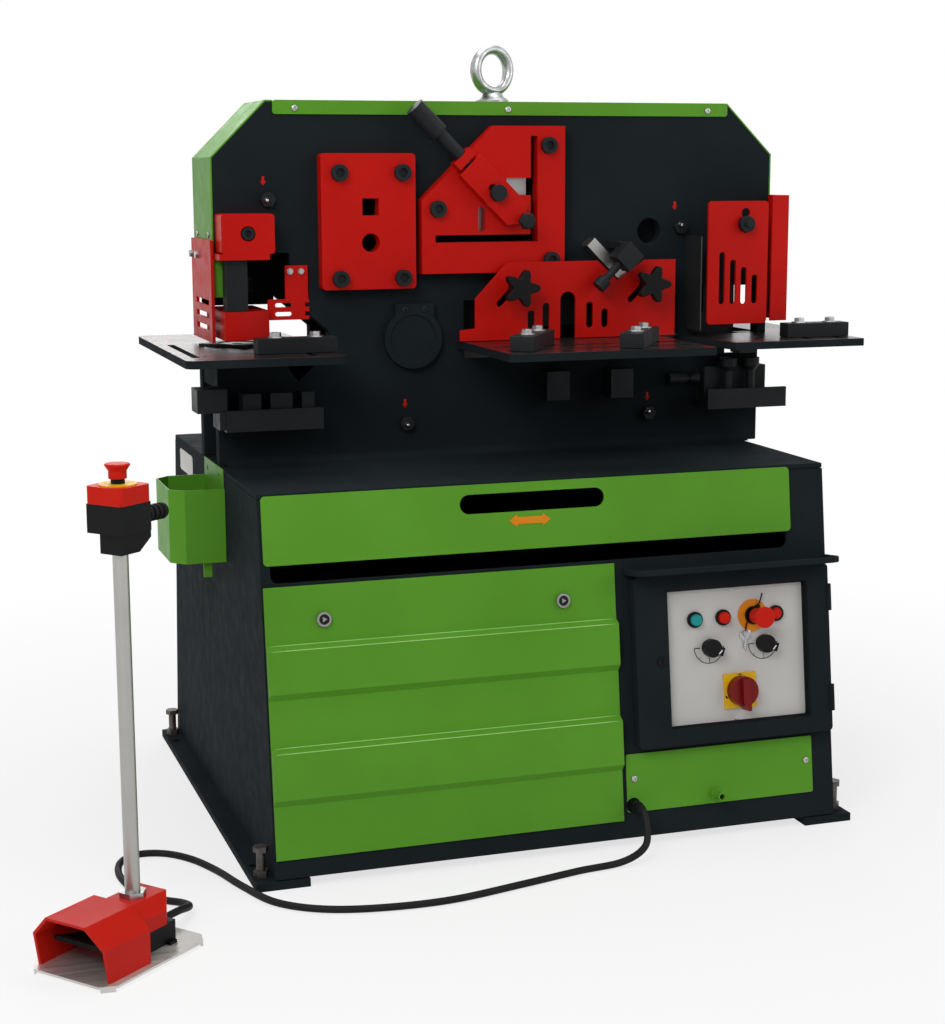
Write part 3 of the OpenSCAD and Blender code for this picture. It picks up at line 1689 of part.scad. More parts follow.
// post from the pedal up to the stop box
module pedal_pole() {
  color(steel)
    on_pedal()
      translate([0, post_y, pedal_z + 20])
        cylinder(h = pole_top - pedal_z - 20, r = pole_r);
}

// stop box on the post with its carrying grip
module stop_box() {
  w = stop_box_w / 2;
  color(black)
    on_pedal()
      translate([0, post_y, pole_top]) {
        difference() {
          union() {
            translate([-w, -w, 0])
              cube([stop_box_w, stop_box_w, stop_box_h]);
            along_x(-pole_r - 9, pole_r + 9)
              polygon([[-pole_r - 9, -34], [pole_r + 9, -34], [w + 14, -14], [w + 14, 2], [w, 12], [-pole_r - 9, 12]]);
          }
          translate([0, 0, -35])
            cylinder(h = 35, r = pole_r + run_c);
          cylinder(h = stop_box_h + 1, r = button_r + button_c);
        }
        translate([0, w - 1, 18])
          rotate([-90, 0, 0]) {
            cylinder(h = 70, r = 12);
            for (k = [0:4])
              translate([0, 0, 16 + 11 * k])
                cylinder(h = 6, r = 13.5);
          }
      }
}

module stop_box_lid() {
  w = stop_box_w / 2 + 1;
  color([0.78, 0.16, 0.11])
    on_pedal()
      translate([0, post_y, pole_top + stop_box_h])
        difference() {
          union() {
            linear_extrude(lid_h)
              round2(-w, -w, w, w, 8);
            translate([0, 0, lid_h - 1])
              cylinder(h = lid_ring + 1, r = mushroom_r + 10);
          }
          translate([0, 0, -1])
            cylinder(h = lid_h + lid_ring + 2, r = button_r + button_c);
        }
}

module stop_mushroom() {
  color(red)
    on_pedal()
      translate([0, post_y, pole_top + stop_box_h - 20])
        mushroom(mushroom_r, button_r, 20 + lid_h + lid_ring + 8, 24);
}

base_frame();
levelling_bolts();
base_top();
front_frame();
rear_panel();
front_covers();
electrical_box();
front_plate();
back_plate();
frame_blocks();
top_cover();
eye_bolt();
pivot_pin();
fixed_blades();
punch_table();
plate_table();
notch_table();
stripper();
side_guards();
bar_shear_plate();
angle_shear_plate();
frame_fittings();
tool_trays();
tool_bucket();
hydraulic_unit();
cord_gland();
pedal_cord();
pedal_plate();
pedal_body();
pedal_hood();
pedal_pole();
stop_box();
stop_box_lid();
beam();
beam_blades();
punch_ram();
cylinder_rod();
lower_cover();
cover_lock_left();
cover_lock_right();
control_door();
control_panel();
start_button();
stop_button();
estop_button();
selector_left();
selector_right();
isolator_knob();
hold_down_bar();
hold_down_screw();
plate_guard();
guard_knob_left();
guard_knob_right();
plate_fence_left();
plate_fence_right();
punch_fence();
notch_fence();
notch_guard();
pedal_treadle();
stop_mushroom();
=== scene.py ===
# %% [markdown]
# # Hydraulic ironworker
# The machine is a black cabinet with a sloping front, a head of two thick plates with red
# tool stations, three steel tables and a foot pedal on its own post. The solids come from
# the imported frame, in metres, and this file gives them their finishes and fine pieces.

# %% Load the fixed frame
import math
import bpy
import bmesh
from mathutils import Matrix, Vector
from mathutils.bvhtree import BVHTree


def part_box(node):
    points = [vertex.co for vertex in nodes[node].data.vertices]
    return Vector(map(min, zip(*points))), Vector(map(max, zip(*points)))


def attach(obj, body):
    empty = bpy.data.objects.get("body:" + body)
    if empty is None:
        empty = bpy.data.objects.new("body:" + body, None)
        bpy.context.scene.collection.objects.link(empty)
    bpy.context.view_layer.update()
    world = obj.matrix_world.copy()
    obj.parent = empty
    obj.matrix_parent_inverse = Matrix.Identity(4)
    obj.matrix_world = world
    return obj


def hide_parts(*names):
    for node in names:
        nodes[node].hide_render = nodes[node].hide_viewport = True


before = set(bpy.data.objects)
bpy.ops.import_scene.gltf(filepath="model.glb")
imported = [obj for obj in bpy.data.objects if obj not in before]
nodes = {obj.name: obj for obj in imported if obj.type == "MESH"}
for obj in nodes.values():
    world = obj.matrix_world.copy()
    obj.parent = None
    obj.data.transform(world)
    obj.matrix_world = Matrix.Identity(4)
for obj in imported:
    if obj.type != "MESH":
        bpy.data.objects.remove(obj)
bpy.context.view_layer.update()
scene = bpy.context.scene
scene.view_settings.view_transform = "Standard"
MM = 0.001

# %% [markdown]
# ## Camera
# The photograph was taken a little left of the machine and slightly from above. A camera can be
# aimed with constraints, but a fixed place and heading are easier to check against the picture.

# %% Camera
CAMERA_PLACE = (-1.225, -3.628, 1.240)
CAMERA_YAW, CAMERA_PITCH, CAMERA_ROLL = 18.4, 10.1, -0.2
CAMERA_LENS, SENSOR_WIDTH = 67.15, 36.0

camera = bpy.data.objects.new("camera", bpy.data.cameras.new("camera"))
scene.collection.objects.link(camera)
camera.data.lens = CAMERA_LENS
camera.data.sensor_width = SENSOR_WIDTH
yaw, pitch = math.radians(CAMERA_YAW), math.radians(CAMERA_PITCH)
heading = Vector((math.sin(yaw) * math.cos(pitch), math.cos(yaw) * math.cos(pitch), -math.sin(pitch)))
turn = heading.to_track_quat("-Z", "Y").to_matrix() @ Matrix.Rotation(math.radians(CAMERA_ROLL), 3, "Z")
camera.matrix_world = Matrix.Translation(CAMERA_PLACE) @ turn.to_4x4()
scene.camera = camera
print("camera", CAMERA_PLACE, "lens", CAMERA_LENS)

# %% [markdown]
# ## Pedal cord
# One lead runs from the gland in the cabinet's front, over the floor and round to the pedal's heel.
# It is a plain round lead, so a curve with a round section is all that it needs. Its points are those
# of the solid it stands for.

# %% The lead and its route
FLOOR_DEPTH, TOP_DEPTH, CABINET_TOP = 1000, 822, 690
LEAN = math.atan((FLOOR_DEPTH - TOP_DEPTH) / 2 / CABINET_TOP)
OUTWARD = Vector((0, -math.cos(LEAN), math.sin(LEAN)))
UPSLOPE = Vector((0, math.sin(LEAN), math.cos(LEAN)))


def on_front(x, z, out):
    """A point of the sloping front at height z, a distance out of its face, in metres."""
    return (Vector((x, -FLOOR_DEPTH / 2, 0)) + UPSLOPE * (z / math.cos(LEAN)) + OUTWARD * out) * MM


PEDAL_PLACE, PEDAL_TURN = Vector((-851, -700, 0)), math.radians(-50)
HEEL_WAY = Vector((-math.sin(PEDAL_TURN), math.cos(PEDAL_TURN), 0))
POST_BACK, SWITCH_LENGTH, HEEL_HEIGHT = 36, 92, 28
HEEL = PEDAL_PLACE + HEEL_WAY * (POST_BACK + SWITCH_LENGTH / 2)
CORD_RADIUS, CORD_STEPS = 6.5, 8
GLAND_X, GLAND_Z = 132, 78
FLOOR_ROUTE = [(130, -558, 62), (118, -580, 30), (70, -590, 10), (-20, -600, 7), (-137, -628, 7), (-276, -657, 7),
               (-399, -653, 7), (-497, -626, 7), (-566, -570, 7), (-604, -480, 7), (-632, -390, 7),
               (-664, -318, 7), (-704, -272, 7), (-750, -258, 7), (-786, -282, 7), (-801, -334, 7),
               (-797, -396, 7), (-778, -456, 7), (-746, -500, 8), (-720, -530, 11), (-714, -565, 17)]
route = [on_front(GLAND_X, GLAND_Z, d) for d in (6, 32, 46)]
route += [Vector(p) * MM for p in FLOOR_ROUTE]
route += [(HEEL + HEEL_WAY * d + Vector((0, 0, HEEL_HEIGHT))) * MM for d in (66, 34, 2)]


def through(points, steps):
    """Even steps along a smooth curve through the given points."""
    smooth = []
    for k in range(len(points) - 1):
        a, b, c, d = (points[min(max(k + j, 0), len(points) - 1)] for j in (-1, 0, 1, 2))
        for j in range(steps):
            t = j / steps
            smooth.append(0.5 * (2 * b + (c - a) * t + (2 * a - 5 * b + 4 * c - d) * t ** 2
                                 + (3 * b - a - 3 * c + d) * t ** 3))
    return smooth + [points[-1]]


line = through(route, CORD_STEPS)
cord_data = bpy.data.curves.new("pedal_lead", "CURVE")
cord_data.dimensions = "3D"
cord_data.bevel_depth = 1.0
cord_data.bevel_resolution = 5
cord_data.use_fill_caps = True
spline = cord_data.splines.new("POLY")
spline.points.add(len(line) - 1)
for point, place in zip(spline.points, line):
    point.co, point.radius = (*place, 1), CORD_RADIUS * MM
spline.use_smooth = True
pedal_lead = bpy.data.objects.new("pedal_lead", cord_data)
scene.collection.objects.link(pedal_lead)
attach(pedal_lead, "machine")
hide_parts("pedal_cord")

# %% [markdown]
# ## Finishes
# Powder coat is a smooth colour with a faint orange peel, so each paint gets a fine noise for the
# bump, a broad one for the colour and a middling one for the gloss. All of them read object
# coordinates in metres, which keeps the grain at its real size on every piece.


# %% Paint and plastic
def new_material(name):
    material = bpy.data.materials.new("machine_" + name)
    material.use_nodes = True
    tree = material.node_tree
    return material, tree.nodes, tree.links, tree.nodes["Principled BSDF"]


def noise(tree_nodes, links, coords, scale, detail=2.0, stretch=(1, 1, 1)):
    mapping = tree_nodes.new("ShaderNodeMapping")
    mapping.inputs["Scale"].default_value = stretch
    links.new(coords.outputs["Object"], mapping.inputs["Vector"])
    cloud = tree_nodes.new("ShaderNodeTexNoise")
    cloud.inputs["Scale"].default_value = scale
    cloud.inputs["Detail"].default_value = detail
    links.new(mapping.outputs["Vector"], cloud.inputs["Vector"])
    return cloud.outputs["Fac"]


def spread(tree_nodes, links, value, low, high):
    ranged = tree_nodes.new("ShaderNodeMapRange")
    ranged.inputs["From Min"].default_value = 0.3
    ranged.inputs["From Max"].default_value = 0.7
    ranged.inputs["To Min"].default_value = low
    ranged.inputs["To Max"].default_value = high
    links.new(value, ranged.inputs["Value"])
    return ranged.outputs["Result"]


def tint(tree_nodes, links, value, dark, light):
    mix = tree_nodes.new("ShaderNodeMix")
    mix.data_type = "RGBA"
    mix.inputs["A"].default_value = (*dark, 1)
    mix.inputs["B"].default_value = (*light, 1)
    links.new(value, mix.inputs["Factor"])
    return mix.outputs["Result"]


GLOSS_SCALE, PEEL_DEPTH = 34.0, 0.0004
finish_table = {}


def coated(name, dark, light, rough, peel, grain=700, metal=0.0, stretch=(1, 1, 1), broad=5.0, shine=0.5):
    material, tree_nodes, links, shader = new_material(name)
    coords = tree_nodes.new("ShaderNodeTexCoord")
    patch = spread(tree_nodes, links, noise(tree_nodes, links, coords, broad, 3.0), 0, 1)
    links.new(tint(tree_nodes, links, patch, dark, light), shader.inputs["Base Color"])
    sheen_patch = noise(tree_nodes, links, coords, GLOSS_SCALE, 4.0, stretch)
    links.new(spread(tree_nodes, links, sheen_patch, *rough), shader.inputs["Roughness"])
    bump = tree_nodes.new("ShaderNodeBump")
    bump.inputs["Strength"].default_value = peel
    bump.inputs["Distance"].default_value = PEEL_DEPTH
    links.new(noise(tree_nodes, links, coords, grain, 2.0, stretch), bump.inputs["Height"])
    links.new(bump.outputs["Normal"], shader.inputs["Normal"])
    shader.inputs["Metallic"].default_value = metal
    shader.inputs["Specular IOR Level"].default_value = shine
    finish_table[name] = material
    return material


black_paint = coated("black_paint", (0.0112, 0.0152, 0.0176), (0.0150, 0.0200, 0.0230),
                     (0.64, 0.78), 0.10, shine=0.025)
green_paint = coated("green_paint", (0.090, 0.285, 0.019), (0.104, 0.320, 0.023),
                     (0.36, 0.48), 0.07, shine=0.14)
# a pale green that paints the highlights along the bends of the lower cover
fold_highlight_green = coated("fold_highlight_green", (0.30, 0.60, 0.15), (0.42, 0.72, 0.24), (0.34, 0.46), 0.05, shine=0.12)
red_paint = coated("red_paint", (0.49, 0.0055, 0.0030), (0.56, 0.0075, 0.0042),
                   (0.34, 0.48), 0.08, shine=0.12)
black_oxide = coated("black_oxide", (0.0075, 0.0090, 0.0102), (0.0140, 0.0162, 0.0180),
                     (0.40, 0.58), 0.12, 900, shine=0.14)
black_plastic = coated("black_plastic", (0.0026, 0.0028, 0.0031), (0.0050, 0.0053, 0.0058),
                       (0.36, 0.48), 0.14, 1500, shine=0.12)
red_plastic = coated("red_plastic", (0.54, 0.011, 0.005), (0.63, 0.016, 0.007),
                     (0.36, 0.48), 0.10, 1300, shine=0.10)
coated("dark_red_plastic", (0.16, 0.004, 0.004), (0.21, 0.006, 0.006), (0.30, 0.38), 0.06, 1300, shine=0.2)
coated("teal_plastic", (0.005, 0.25, 0.24), (0.008, 0.30, 0.29), (0.22, 0.30), 0.03, 1300, shine=0.25)
yellow_plastic = coated("yellow_plastic", (0.74, 0.43, 0.008), (0.84, 0.51, 0.012),
                        (0.36, 0.48), 0.06, 1300, shine=0.2)
orange_plastic = coated("orange_plastic", (0.66, 0.19, 0.006), (0.76, 0.25, 0.009),
                        (0.34, 0.46), 0.06, 1300, shine=0.2)
white_ink = coated("white_ink", (0.70, 0.70, 0.69), (0.80, 0.80, 0.79), (0.45, 0.55), 0.03, 1500, shine=0.2)
black_ink = coated("black_ink", (0.007, 0.007, 0.008), (0.012, 0.012, 0.013),
                   (0.50, 0.60), 0.03, 1500, shine=0.12)
coated("panel_grey", (0.55, 0.535, 0.515), (0.60, 0.585, 0.565), (0.42, 0.54), 0.08, 1100, shine=0.16)
# a dark glossy sheet that paints the shade on the narrow plate of the side guard
shaded_guard_sheet = coated("shaded_guard_sheet", (0.020, 0.021, 0.022), (0.030, 0.031, 0.032),
                      (0.16, 0.26), 0.02, 1500, shine=0.4)
cord_rubber = coated("cord_rubber", (0.007, 0.007, 0.008), (0.012, 0.012, 0.013),
                     (0.50, 0.64), 0.20, 1800, shine=0.14)
tread_rubber = coated("tread_rubber", (0.006, 0.006, 0.006), (0.011, 0.010, 0.010),
                      (0.66, 0.82), 0.30, 1200, shine=0.12)
coated("cast_grey", (0.045, 0.050, 0.054), (0.070, 0.076, 0.080), (0.50, 0.66), 0.40, 420, shine=0.2)
ground_steel = coated("ground_steel", (0.24, 0.235, 0.23), (0.36, 0.35, 0.34),
                      (0.30, 0.46), 0.10, 90, metal=1.0, stretch=(1, 14, 14))
# a dark steel that paints the shade on the blades low down behind the guards
shaded_blade_steel = coated("shaded_blade_steel", (0.022, 0.020, 0.019), (0.040, 0.036, 0.034),
                    (0.38, 0.54), 0.10, 300, metal=1.0)
zinc = coated("zinc", (0.30, 0.305, 0.31), (0.48, 0.485, 0.49),
              (0.24, 0.42), 0.12, 700, metal=1.0, broad=60)
coated("bolt_zinc", (0.070, 0.062, 0.058), (0.14, 0.125, 0.115),
       (0.36, 0.56), 0.12, 900, metal=0.9, broad=80)
aluminium = coated("aluminium", (0.36, 0.355, 0.34), (0.45, 0.44, 0.42),
                   (0.34, 0.46), 0.06, 260, metal=1.0, stretch=(6, 6, 0.06))
coated("stainless", (0.56, 0.54, 0.52), (0.68, 0.655, 0.63),
       (0.42, 0.58), 0.08, 160, metal=0.85, stretch=(0.06, 5, 1))
coated("table_steel", (0.075, 0.063, 0.062), (0.15, 0.126, 0.125),
       (0.20, 0.36), 0.08, 130, metal=1.0, stretch=(0.15, 5, 5), broad=9)
pedal_lead.data.materials.append(cord_rubber)
print("finishes", len(finish_table))

# %% [markdown]
# ## Dressing the solids
# Each solid already has its shape, so it only changes its finish. A table of names is easier to
# read than a chain of tests, and any solid left out of it would stop the script.

# %% One finish for each solid
FINISHES = {
    "black_paint": ["base_frame", "base_top", "front_frame", "rear_panel", "electrical_box", "front_plate",
                    "back_plate", "frame_blocks", "pivot_pin", "control_door", "beam"],
    "green_paint": ["front_covers", "top_cover", "lower_cover", "tool_bucket"],
    "red_paint": ["stripper", "side_guards", "bar_shear_plate", "angle_shear_plate", "hold_down_bar",
                  "plate_guard", "notch_guard"],
    "black_oxide": ["frame_fittings", "hold_down_screw", "plate_fence_left", "plate_fence_right", "punch_fence",
                    "notch_fence", "tool_trays"],
    "table_steel": ["punch_table", "plate_table", "notch_table"],
    "ground_steel": ["fixed_blades", "beam_blades", "punch_ram", "cylinder_rod", "cover_lock_left",
                     "cover_lock_right"],
    "zinc": ["eye_bolt"],
    "bolt_zinc": ["levelling_bolts"],
    "panel_grey": ["control_panel"],
    "teal_plastic": ["start_button"],
    "red_plastic": ["stop_button", "estop_button", "pedal_hood", "stop_box_lid", "stop_mushroom"],
    "dark_red_plastic": ["isolator_knob"],
    "black_plastic": ["selector_left", "selector_right", "guard_knob_left", "guard_knob_right", "pedal_body",
                      "stop_box", "cord_gland"],
    "tread_rubber": ["pedal_treadle"],
    "aluminium": ["pedal_pole"],
    "stainless": ["pedal_plate"],
    "cast_grey": ["hydraulic_unit"],
    "cord_rubber": ["pedal_cord"],
}
for finish_name, members in FINISHES.items():
    for name in members:
        mesh = nodes[name].data
        mesh.materials.clear()
        mesh.materials.append(finish_table[finish_name])
bare = sorted(set(nodes) - {n for members in FINISHES.values() for n in members})
assert not bare, bare
print("dressed", len(nodes))

# %% [markdown]
# ## Second colours
# Some solids are one piece in the model but have more than one finish on the real machine: a table is
# ground on top and painted below, a collar on the panel is black, a bolt on a fence is bright. The low
# parts of the blades and the narrow plate in the side guard are painted dark, a painted shade. A face
# gets its own material slot by where it is and which way it looks, so no point of the solid moves.


# %% Faces with their own finish
def repaint(name, finish, test):
    mesh = nodes[name].data
    mesh.materials.append(finish)
    slot_number = len(mesh.materials) - 1
    chosen = [face for face in mesh.polygons if test(face.center / MM, face.normal)]
    for face in chosen:
        face.material_index = slot_number
    print(name, finish.name, len(chosen), "faces")


def on_slope(point):
    """Side way, height and distance out of the sloping front of a point in millimetres."""
    from_foot = point - Vector((0, -FLOOR_DEPTH / 2, 0))
    return point.x, from_foot.dot(UPSLOPE) * math.cos(LEAN), from_foot.dot(OUTWARD)


def near_control(point, control, reach):
    x, z = on_slope(point)[:2]
    return math.hypot(x - control[0], (z - control[1]) / math.cos(LEAN)) < reach


PANEL_OUT = 10
START, STOP, ESTOP, LAMP = (266, 413), (324, 413), (386, 413), (434, 413)
SELECTORS = [(294, 359), (406, 359)]
ISOLATOR = (354, 274)
DOOR_LOCK_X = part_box("control_door")[0][0] / MM + 50
TABLES = ("punch_table", "plate_table", "notch_table")
FENCES = ("plate_fence_left", "plate_fence_right", "punch_fence", "notch_fence")
BOLT_HEAD = 9.8
ESTOP_COLLAR, LAMP_LENS, DOOR_FACE, ESTOP_NECK = 13.05, 16.05, 26.05, 27
MUSHROOM_NECK, STOP_LID_TOP, SWITCH_TOP, SHADED_BLADE_TOP = 773.9, 764.05, 92.05, 1015
SHADED_SHEET_LEFT, SHADED_SHEET_RIGHT = 412.5, 416.5


def raised(point, level=PANEL_OUT + 0.05):
    return on_slope(point)[2] > level


def in_square(point, control, half):
    x, z = on_slope(point)[:2]
    return max(abs(x - control[0]), abs(z - control[1])) < half


for name in TABLES:
    repaint(name, black_paint, lambda p, n: n.z < 0.5)
for name in FENCES:
    fence_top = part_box(name)[1][2] / MM
    repaint(name, zinc, lambda p, n: p.z > fence_top - BOLT_HEAD)
repaint("control_panel", black_plastic, lambda p, n: raised(p) and any(
    near_control(p, c, 20) for c in [START, STOP, LAMP, *SELECTORS]))
repaint("control_panel", orange_plastic, lambda p, n: raised(p) and near_control(p, ESTOP, 31))
repaint("control_panel", black_plastic, lambda p, n: raised(p, ESTOP_COLLAR) and near_control(p, ESTOP, 15.4))
repaint("control_panel", red_plastic, lambda p, n: raised(p, LAMP_LENS) and near_control(p, LAMP, 14))
repaint("control_panel", yellow_plastic, lambda p, n: raised(p) and in_square(p, ISOLATOR, 34))
repaint("estop_button", black_plastic, lambda p, n: not raised(p, ESTOP_NECK))
repaint("stop_mushroom", black_plastic, lambda p, n: p.z < MUSHROOM_NECK)
repaint("control_door", black_plastic, lambda p, n: raised(p, DOOR_FACE) and near_control(
    p, (DOOR_LOCK_X, on_slope(p)[1]), 12))
repaint("stop_box_lid", yellow_plastic, lambda p, n: p.z > STOP_LID_TOP)
repaint("pedal_body", zinc, lambda p, n: p.z > SWITCH_TOP)

BAR_MIDDLE, BAR_BACK = (254, 1076), -108.5


def in_hold_bar(p):
    along = (p.x - BAR_MIDDLE[0] - p.z + BAR_MIDDLE[1]) * math.sqrt(0.5)
    across = (p.x - BAR_MIDDLE[0] + p.z - BAR_MIDDLE[1]) * math.sqrt(0.5)
    return -63 < along < 39 and -35 < across < -11 and p.y > BAR_BACK


repaint("frame_fittings", ground_steel, lambda p, n: in_hold_bar(p))
# painted shade: the blades are painted dark below this height, where they sit behind the guards
for name in ("beam_blades", "fixed_blades"):
    repaint(name, shaded_blade_steel, lambda p, n: p.z < SHADED_BLADE_TOP)
# painted shade: the narrow plate of the side guard is painted dark
repaint("side_guards", shaded_guard_sheet, lambda p, n: SHADED_SHEET_LEFT < p.x < SHADED_SHEET_RIGHT)

# %% [markdown]
# ## Broken edges
# Flame-cut and bent plate never has a knife edge. The solids keep their own points, so the small
# round comes from modifiers: weld the seams, join the flat triangles, then bevel what is left sharp.


# %% Small rounds on the solids
def soften(name, width, segments=2):
    piece = nodes[name]
    weld = piece.modifiers.new("weld", "WELD")
    weld.merge_threshold = 0.00001
    flat = piece.modifiers.new("flat", "DECIMATE")
    flat.decimate_type = "DISSOLVE"
    flat.angle_limit = math.radians(0.6)
    flat.delimit = {"MATERIAL"}
    edge = piece.modifiers.new("edge", "BEVEL")
    edge.width = width * MM
    edge.segments = segments
    edge.limit_method = "ANGLE"
    edge.angle_limit = math.radians(38)
    edge.miter_outer = "MITER_ARC"
    shade = piece.modifiers.new("shade", "WEIGHTED_NORMAL")
    shade.keep_sharp = False


EDGES = {
    2.0: ["base_frame", "base_top", "front_plate", "back_plate", "front_frame", "control_door", "electrical_box"],
    1.5: ["bar_shear_plate", "angle_shear_plate", "hold_down_bar", "stripper", "punch_table", "plate_table",
          "notch_table", "pivot_pin", "tool_trays"],
    1.0: ["plate_fence_left", "plate_fence_right", "punch_fence", "notch_fence", "top_cover", "lower_cover",
          "front_covers", "tool_bucket", "plate_guard", "notch_guard", "side_guards", "frame_fittings"],
    2.5: ["guard_knob_left", "guard_knob_right"],
}
for width, members in EDGES.items():
    for name in members:
        soften(name, width)
print("softened", sum(len(m) for m in EDGES.values()))

# %% [markdown]
# ## Screws, washers and small fittings
# The small pieces are all stacks of rings: a circle that narrows makes a rounded head, and a six-sided
# ring that goes back down makes the socket. One helper joins the rings, so a screw is a list of
# radii and heights, and each one is set on the face that a straight line meets.


# %% Helpers for the small pieces
def ring(reach, height, sides=0, count=48):
    """Points of a circle, or of a figure with flat sides, at one height, in millimetres."""
    points = []
    for k in range(count):
        angle = math.tau * k / count
        radius = reach / math.cos(angle % (math.tau / sides) - math.pi / sides) if sides else reach
        points.append(Vector((radius * math.cos(angle), radius * math.sin(angle), height)))
    return points


def add_stack(mesh, rings, place):
    rows = [[mesh.verts.new(place @ (point * MM)) for point in points] for points in rings]
    for low, high in zip(rows, rows[1:]):
        for k in range(len(low)):
            j = (k + 1) % len(low)
            mesh.faces.new((low[k], low[j], high[j], high[k]))
    mesh.faces.new(list(reversed(rows[0])))
    mesh.faces.new(rows[-1])


def facing(spot, way, up=(0, 0, 1)):
    """A frame at a spot in millimetres, its third axis along the way that the piece looks."""
    way = Vector(way).normalized()
    side = Vector(up).cross(way)
    side = side.normalized() if side.length > 0.001 else Vector((1, 0, 0))
    return Matrix.Translation(Vector(spot) * MM) @ Matrix((side, way.cross(side), way)).transposed().to_4x4()


def touch(names, start, way):
    """Where a straight line first meets the named solids, in millimetres."""
    start, way, nearest = Vector(start) * MM, Vector(way).normalized(), None
    for name in names:
        mesh = nodes[name].data
        tree = BVHTree.FromPolygons([v.co for v in mesh.vertices], [p.vertices[:] for p in mesh.polygons])
        hit = tree.ray_cast(start, way)
        if hit[0] is not None and (nearest is None or hit[3] < nearest[3]):
            nearest = hit
    assert nearest, names
    return nearest[0] / MM


def keep(name, mesh, finish, body, crease=32):
    bmesh.ops.recalc_face_normals(mesh, faces=mesh.faces)
    data = bpy.data.meshes.new(name)
    mesh.to_mesh(data)
    mesh.free()
    for face in data.polygons:
        face.use_smooth = True
    data.set_sharp_from_angle(angle=math.radians(crease))
    data.materials.append(finish)
    piece = bpy.data.objects.new(name, data)
    scene.collection.objects.link(piece)
    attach(piece, body)
    print(name, len(data.polygons), "faces on", body)
    return piece


def button_screw(r):
    h = 0.56 * r
    return [ring(r * 0.97, 0), ring(r, 0.12 * r), ring(r * 0.93, 0.7 * h), ring(r * 0.74, 0.94 * h),
            ring(r * 0.58, h), ring(r * 0.45, h, 6), ring(r * 0.45, 0.35 * h, 6)]


def hex_bolt(flats, height):
    a = flats / 2
    return [ring(a * 1.2, 0), ring(a * 1.2, 1.6), ring(a * 1.0, 1.6, 6), ring(a, height - 1.2, 6),
            ring(a * 0.98, height - 0.5), ring(a * 0.9, height)]


def rounded(half_w, half_h, r):
    """Points round a rectangle with rounded corners, about its middle, in millimetres."""
    return [(sx * (half_w - r) + r * math.cos(math.radians(a)), sy * (half_h - r) + r * math.sin(math.radians(a)))
            for sx, sy, first in ((1, 1, 0), (-1, 1, 90), (-1, -1, 180), (1, -1, 270))
            for a in range(first, first + 91, 15)]


FRONT, BACK, RIGHT, DOWN = Vector((0, -1, 0)), Vector((0, 1, 0)), Vector((1, 0, 0)), Vector((0, 0, -1))
# starts of the straight lines, well clear of the front, the left side and the sloping face
AHEAD, ASIDE, OFF_SLOPE = -600, -900, 200
print("helpers ready")

# %% [markdown]
# ### Cover and guard screws
# The sheet covers are held by low button screws, the guards by bright hexagon bolts. Each list gives
# only where a screw sits across the face; the depth comes from the solid itself.

# %% Screws on the covers and guards
cover_screws = bmesh.new()
for x in (-390, 32, 455):
    spot = touch(["top_cover"], (x, AHEAD, 1358), BACK)
    add_stack(cover_screws, button_screw(6), facing(spot, FRONT))
for x, z in ((491, 127), (135, 127)):
    spot = touch(["front_covers"], on_front(x, z, OFF_SLOPE) / MM, -OUTWARD)
    add_stack(cover_screws, button_screw(6), facing(spot, OUTWARD))
for y in (-40, 72):
    spot = touch(["top_cover", "side_guards", "frame_blocks"], (ASIDE, y, 1125), RIGHT)
    add_stack(cover_screws, button_screw(5.5), facing(spot, -RIGHT))
keep("cover_screws", cover_screws, zinc, "machine")

plate_screws = bmesh.new()
for x in (-182, -143):
    spot = touch(["pivot_pin", "front_plate"], (x, AHEAD, 978), BACK)
    add_stack(plate_screws, button_screw(6.5), facing(spot, FRONT))
low, high = (Vector(c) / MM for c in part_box("stripper"))
recess = touch(["stripper"], (high.x - 50, AHEAD, high.z - 36), BACK)
add_stack(plate_screws, [ring(11.6, -2), ring(12, 0), ring(12, 9), ring(11.2, 10), ring(6.6, 10), ring(5.8, 9.6, 6),
                         ring(5.8, 4, 6)], facing(recess, FRONT))
keep("plate_screws", plate_screws, black_oxide, "machine")

guard_bolts = bmesh.new()
for y in (42, 98):
    spot = touch(["side_guards"], (ASIDE, y, 1086), RIGHT)
    add_stack(guard_bolts, hex_bolt(13, 7), facing(spot, -RIGHT))
for x in (-405, -384):
    spot = touch(["side_guards"], (x, AHEAD, 1056), BACK)
    add_stack(guard_bolts, hex_bolt(10, 5), facing(spot, FRONT))
keep("guard_bolts", guard_bolts, zinc, "machine")

panel_screws = bmesh.new()
for x, z in ((345, 465), (345, 221)):
    spot = touch(["control_panel"], on_front(x, z, OFF_SLOPE) / MM, -OUTWARD)
    add_stack(panel_screws, button_screw(3.2), facing(spot, OUTWARD))
keep("panel_screws", panel_screws, zinc, "control_door")

# %% [markdown]
# ### Fence washers
# Each fence is clamped by bolts. The middle of a bolt comes from the top points of the fence's own
# solid, so the washers stay under the heads, and they slide with the fence.


# %% Washers under the fence bolts
def bolt_places(name):
    """The middles of the bolt heads on top of a fence, in millimetres."""
    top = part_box(name)[1][2]
    heads = []
    for point in (v.co for v in nodes[name].data.vertices if v.co.z > top - 0.0005):
        near = [head for head in heads if (head[0] - point).length < 0.03]
        near[0].append(point) if near else heads.append([point])
    return [sum(head, Vector()) / len(head) / MM for head in heads]


for name in FENCES:
    washers = bmesh.new()
    for spot in bolt_places(name):
        seat = spot + DOWN * 10
        add_stack(washers, [ring(15, 0), ring(15.4, 0.5), ring(15.4, 2), ring(14.8, 2.5), ring(8, 2.5)],
                  facing(seat, -DOWN))
        add_stack(washers, [ring(3.4, 10.02), ring(3.4, 10.4), ring(2.6, 10.6)], facing(seat, -DOWN))
    keep(name + "_washers", washers, zinc, name)

# %% [markdown]
# ## Control panel marks
# Each selector stands on a printed half dial with a tick in the middle, and has a white line on its
# nose. Ink could be a texture, but a texture needs a fitted map, so each mark is a thin flat ribbon
# that lies on the face and follows a list of points.


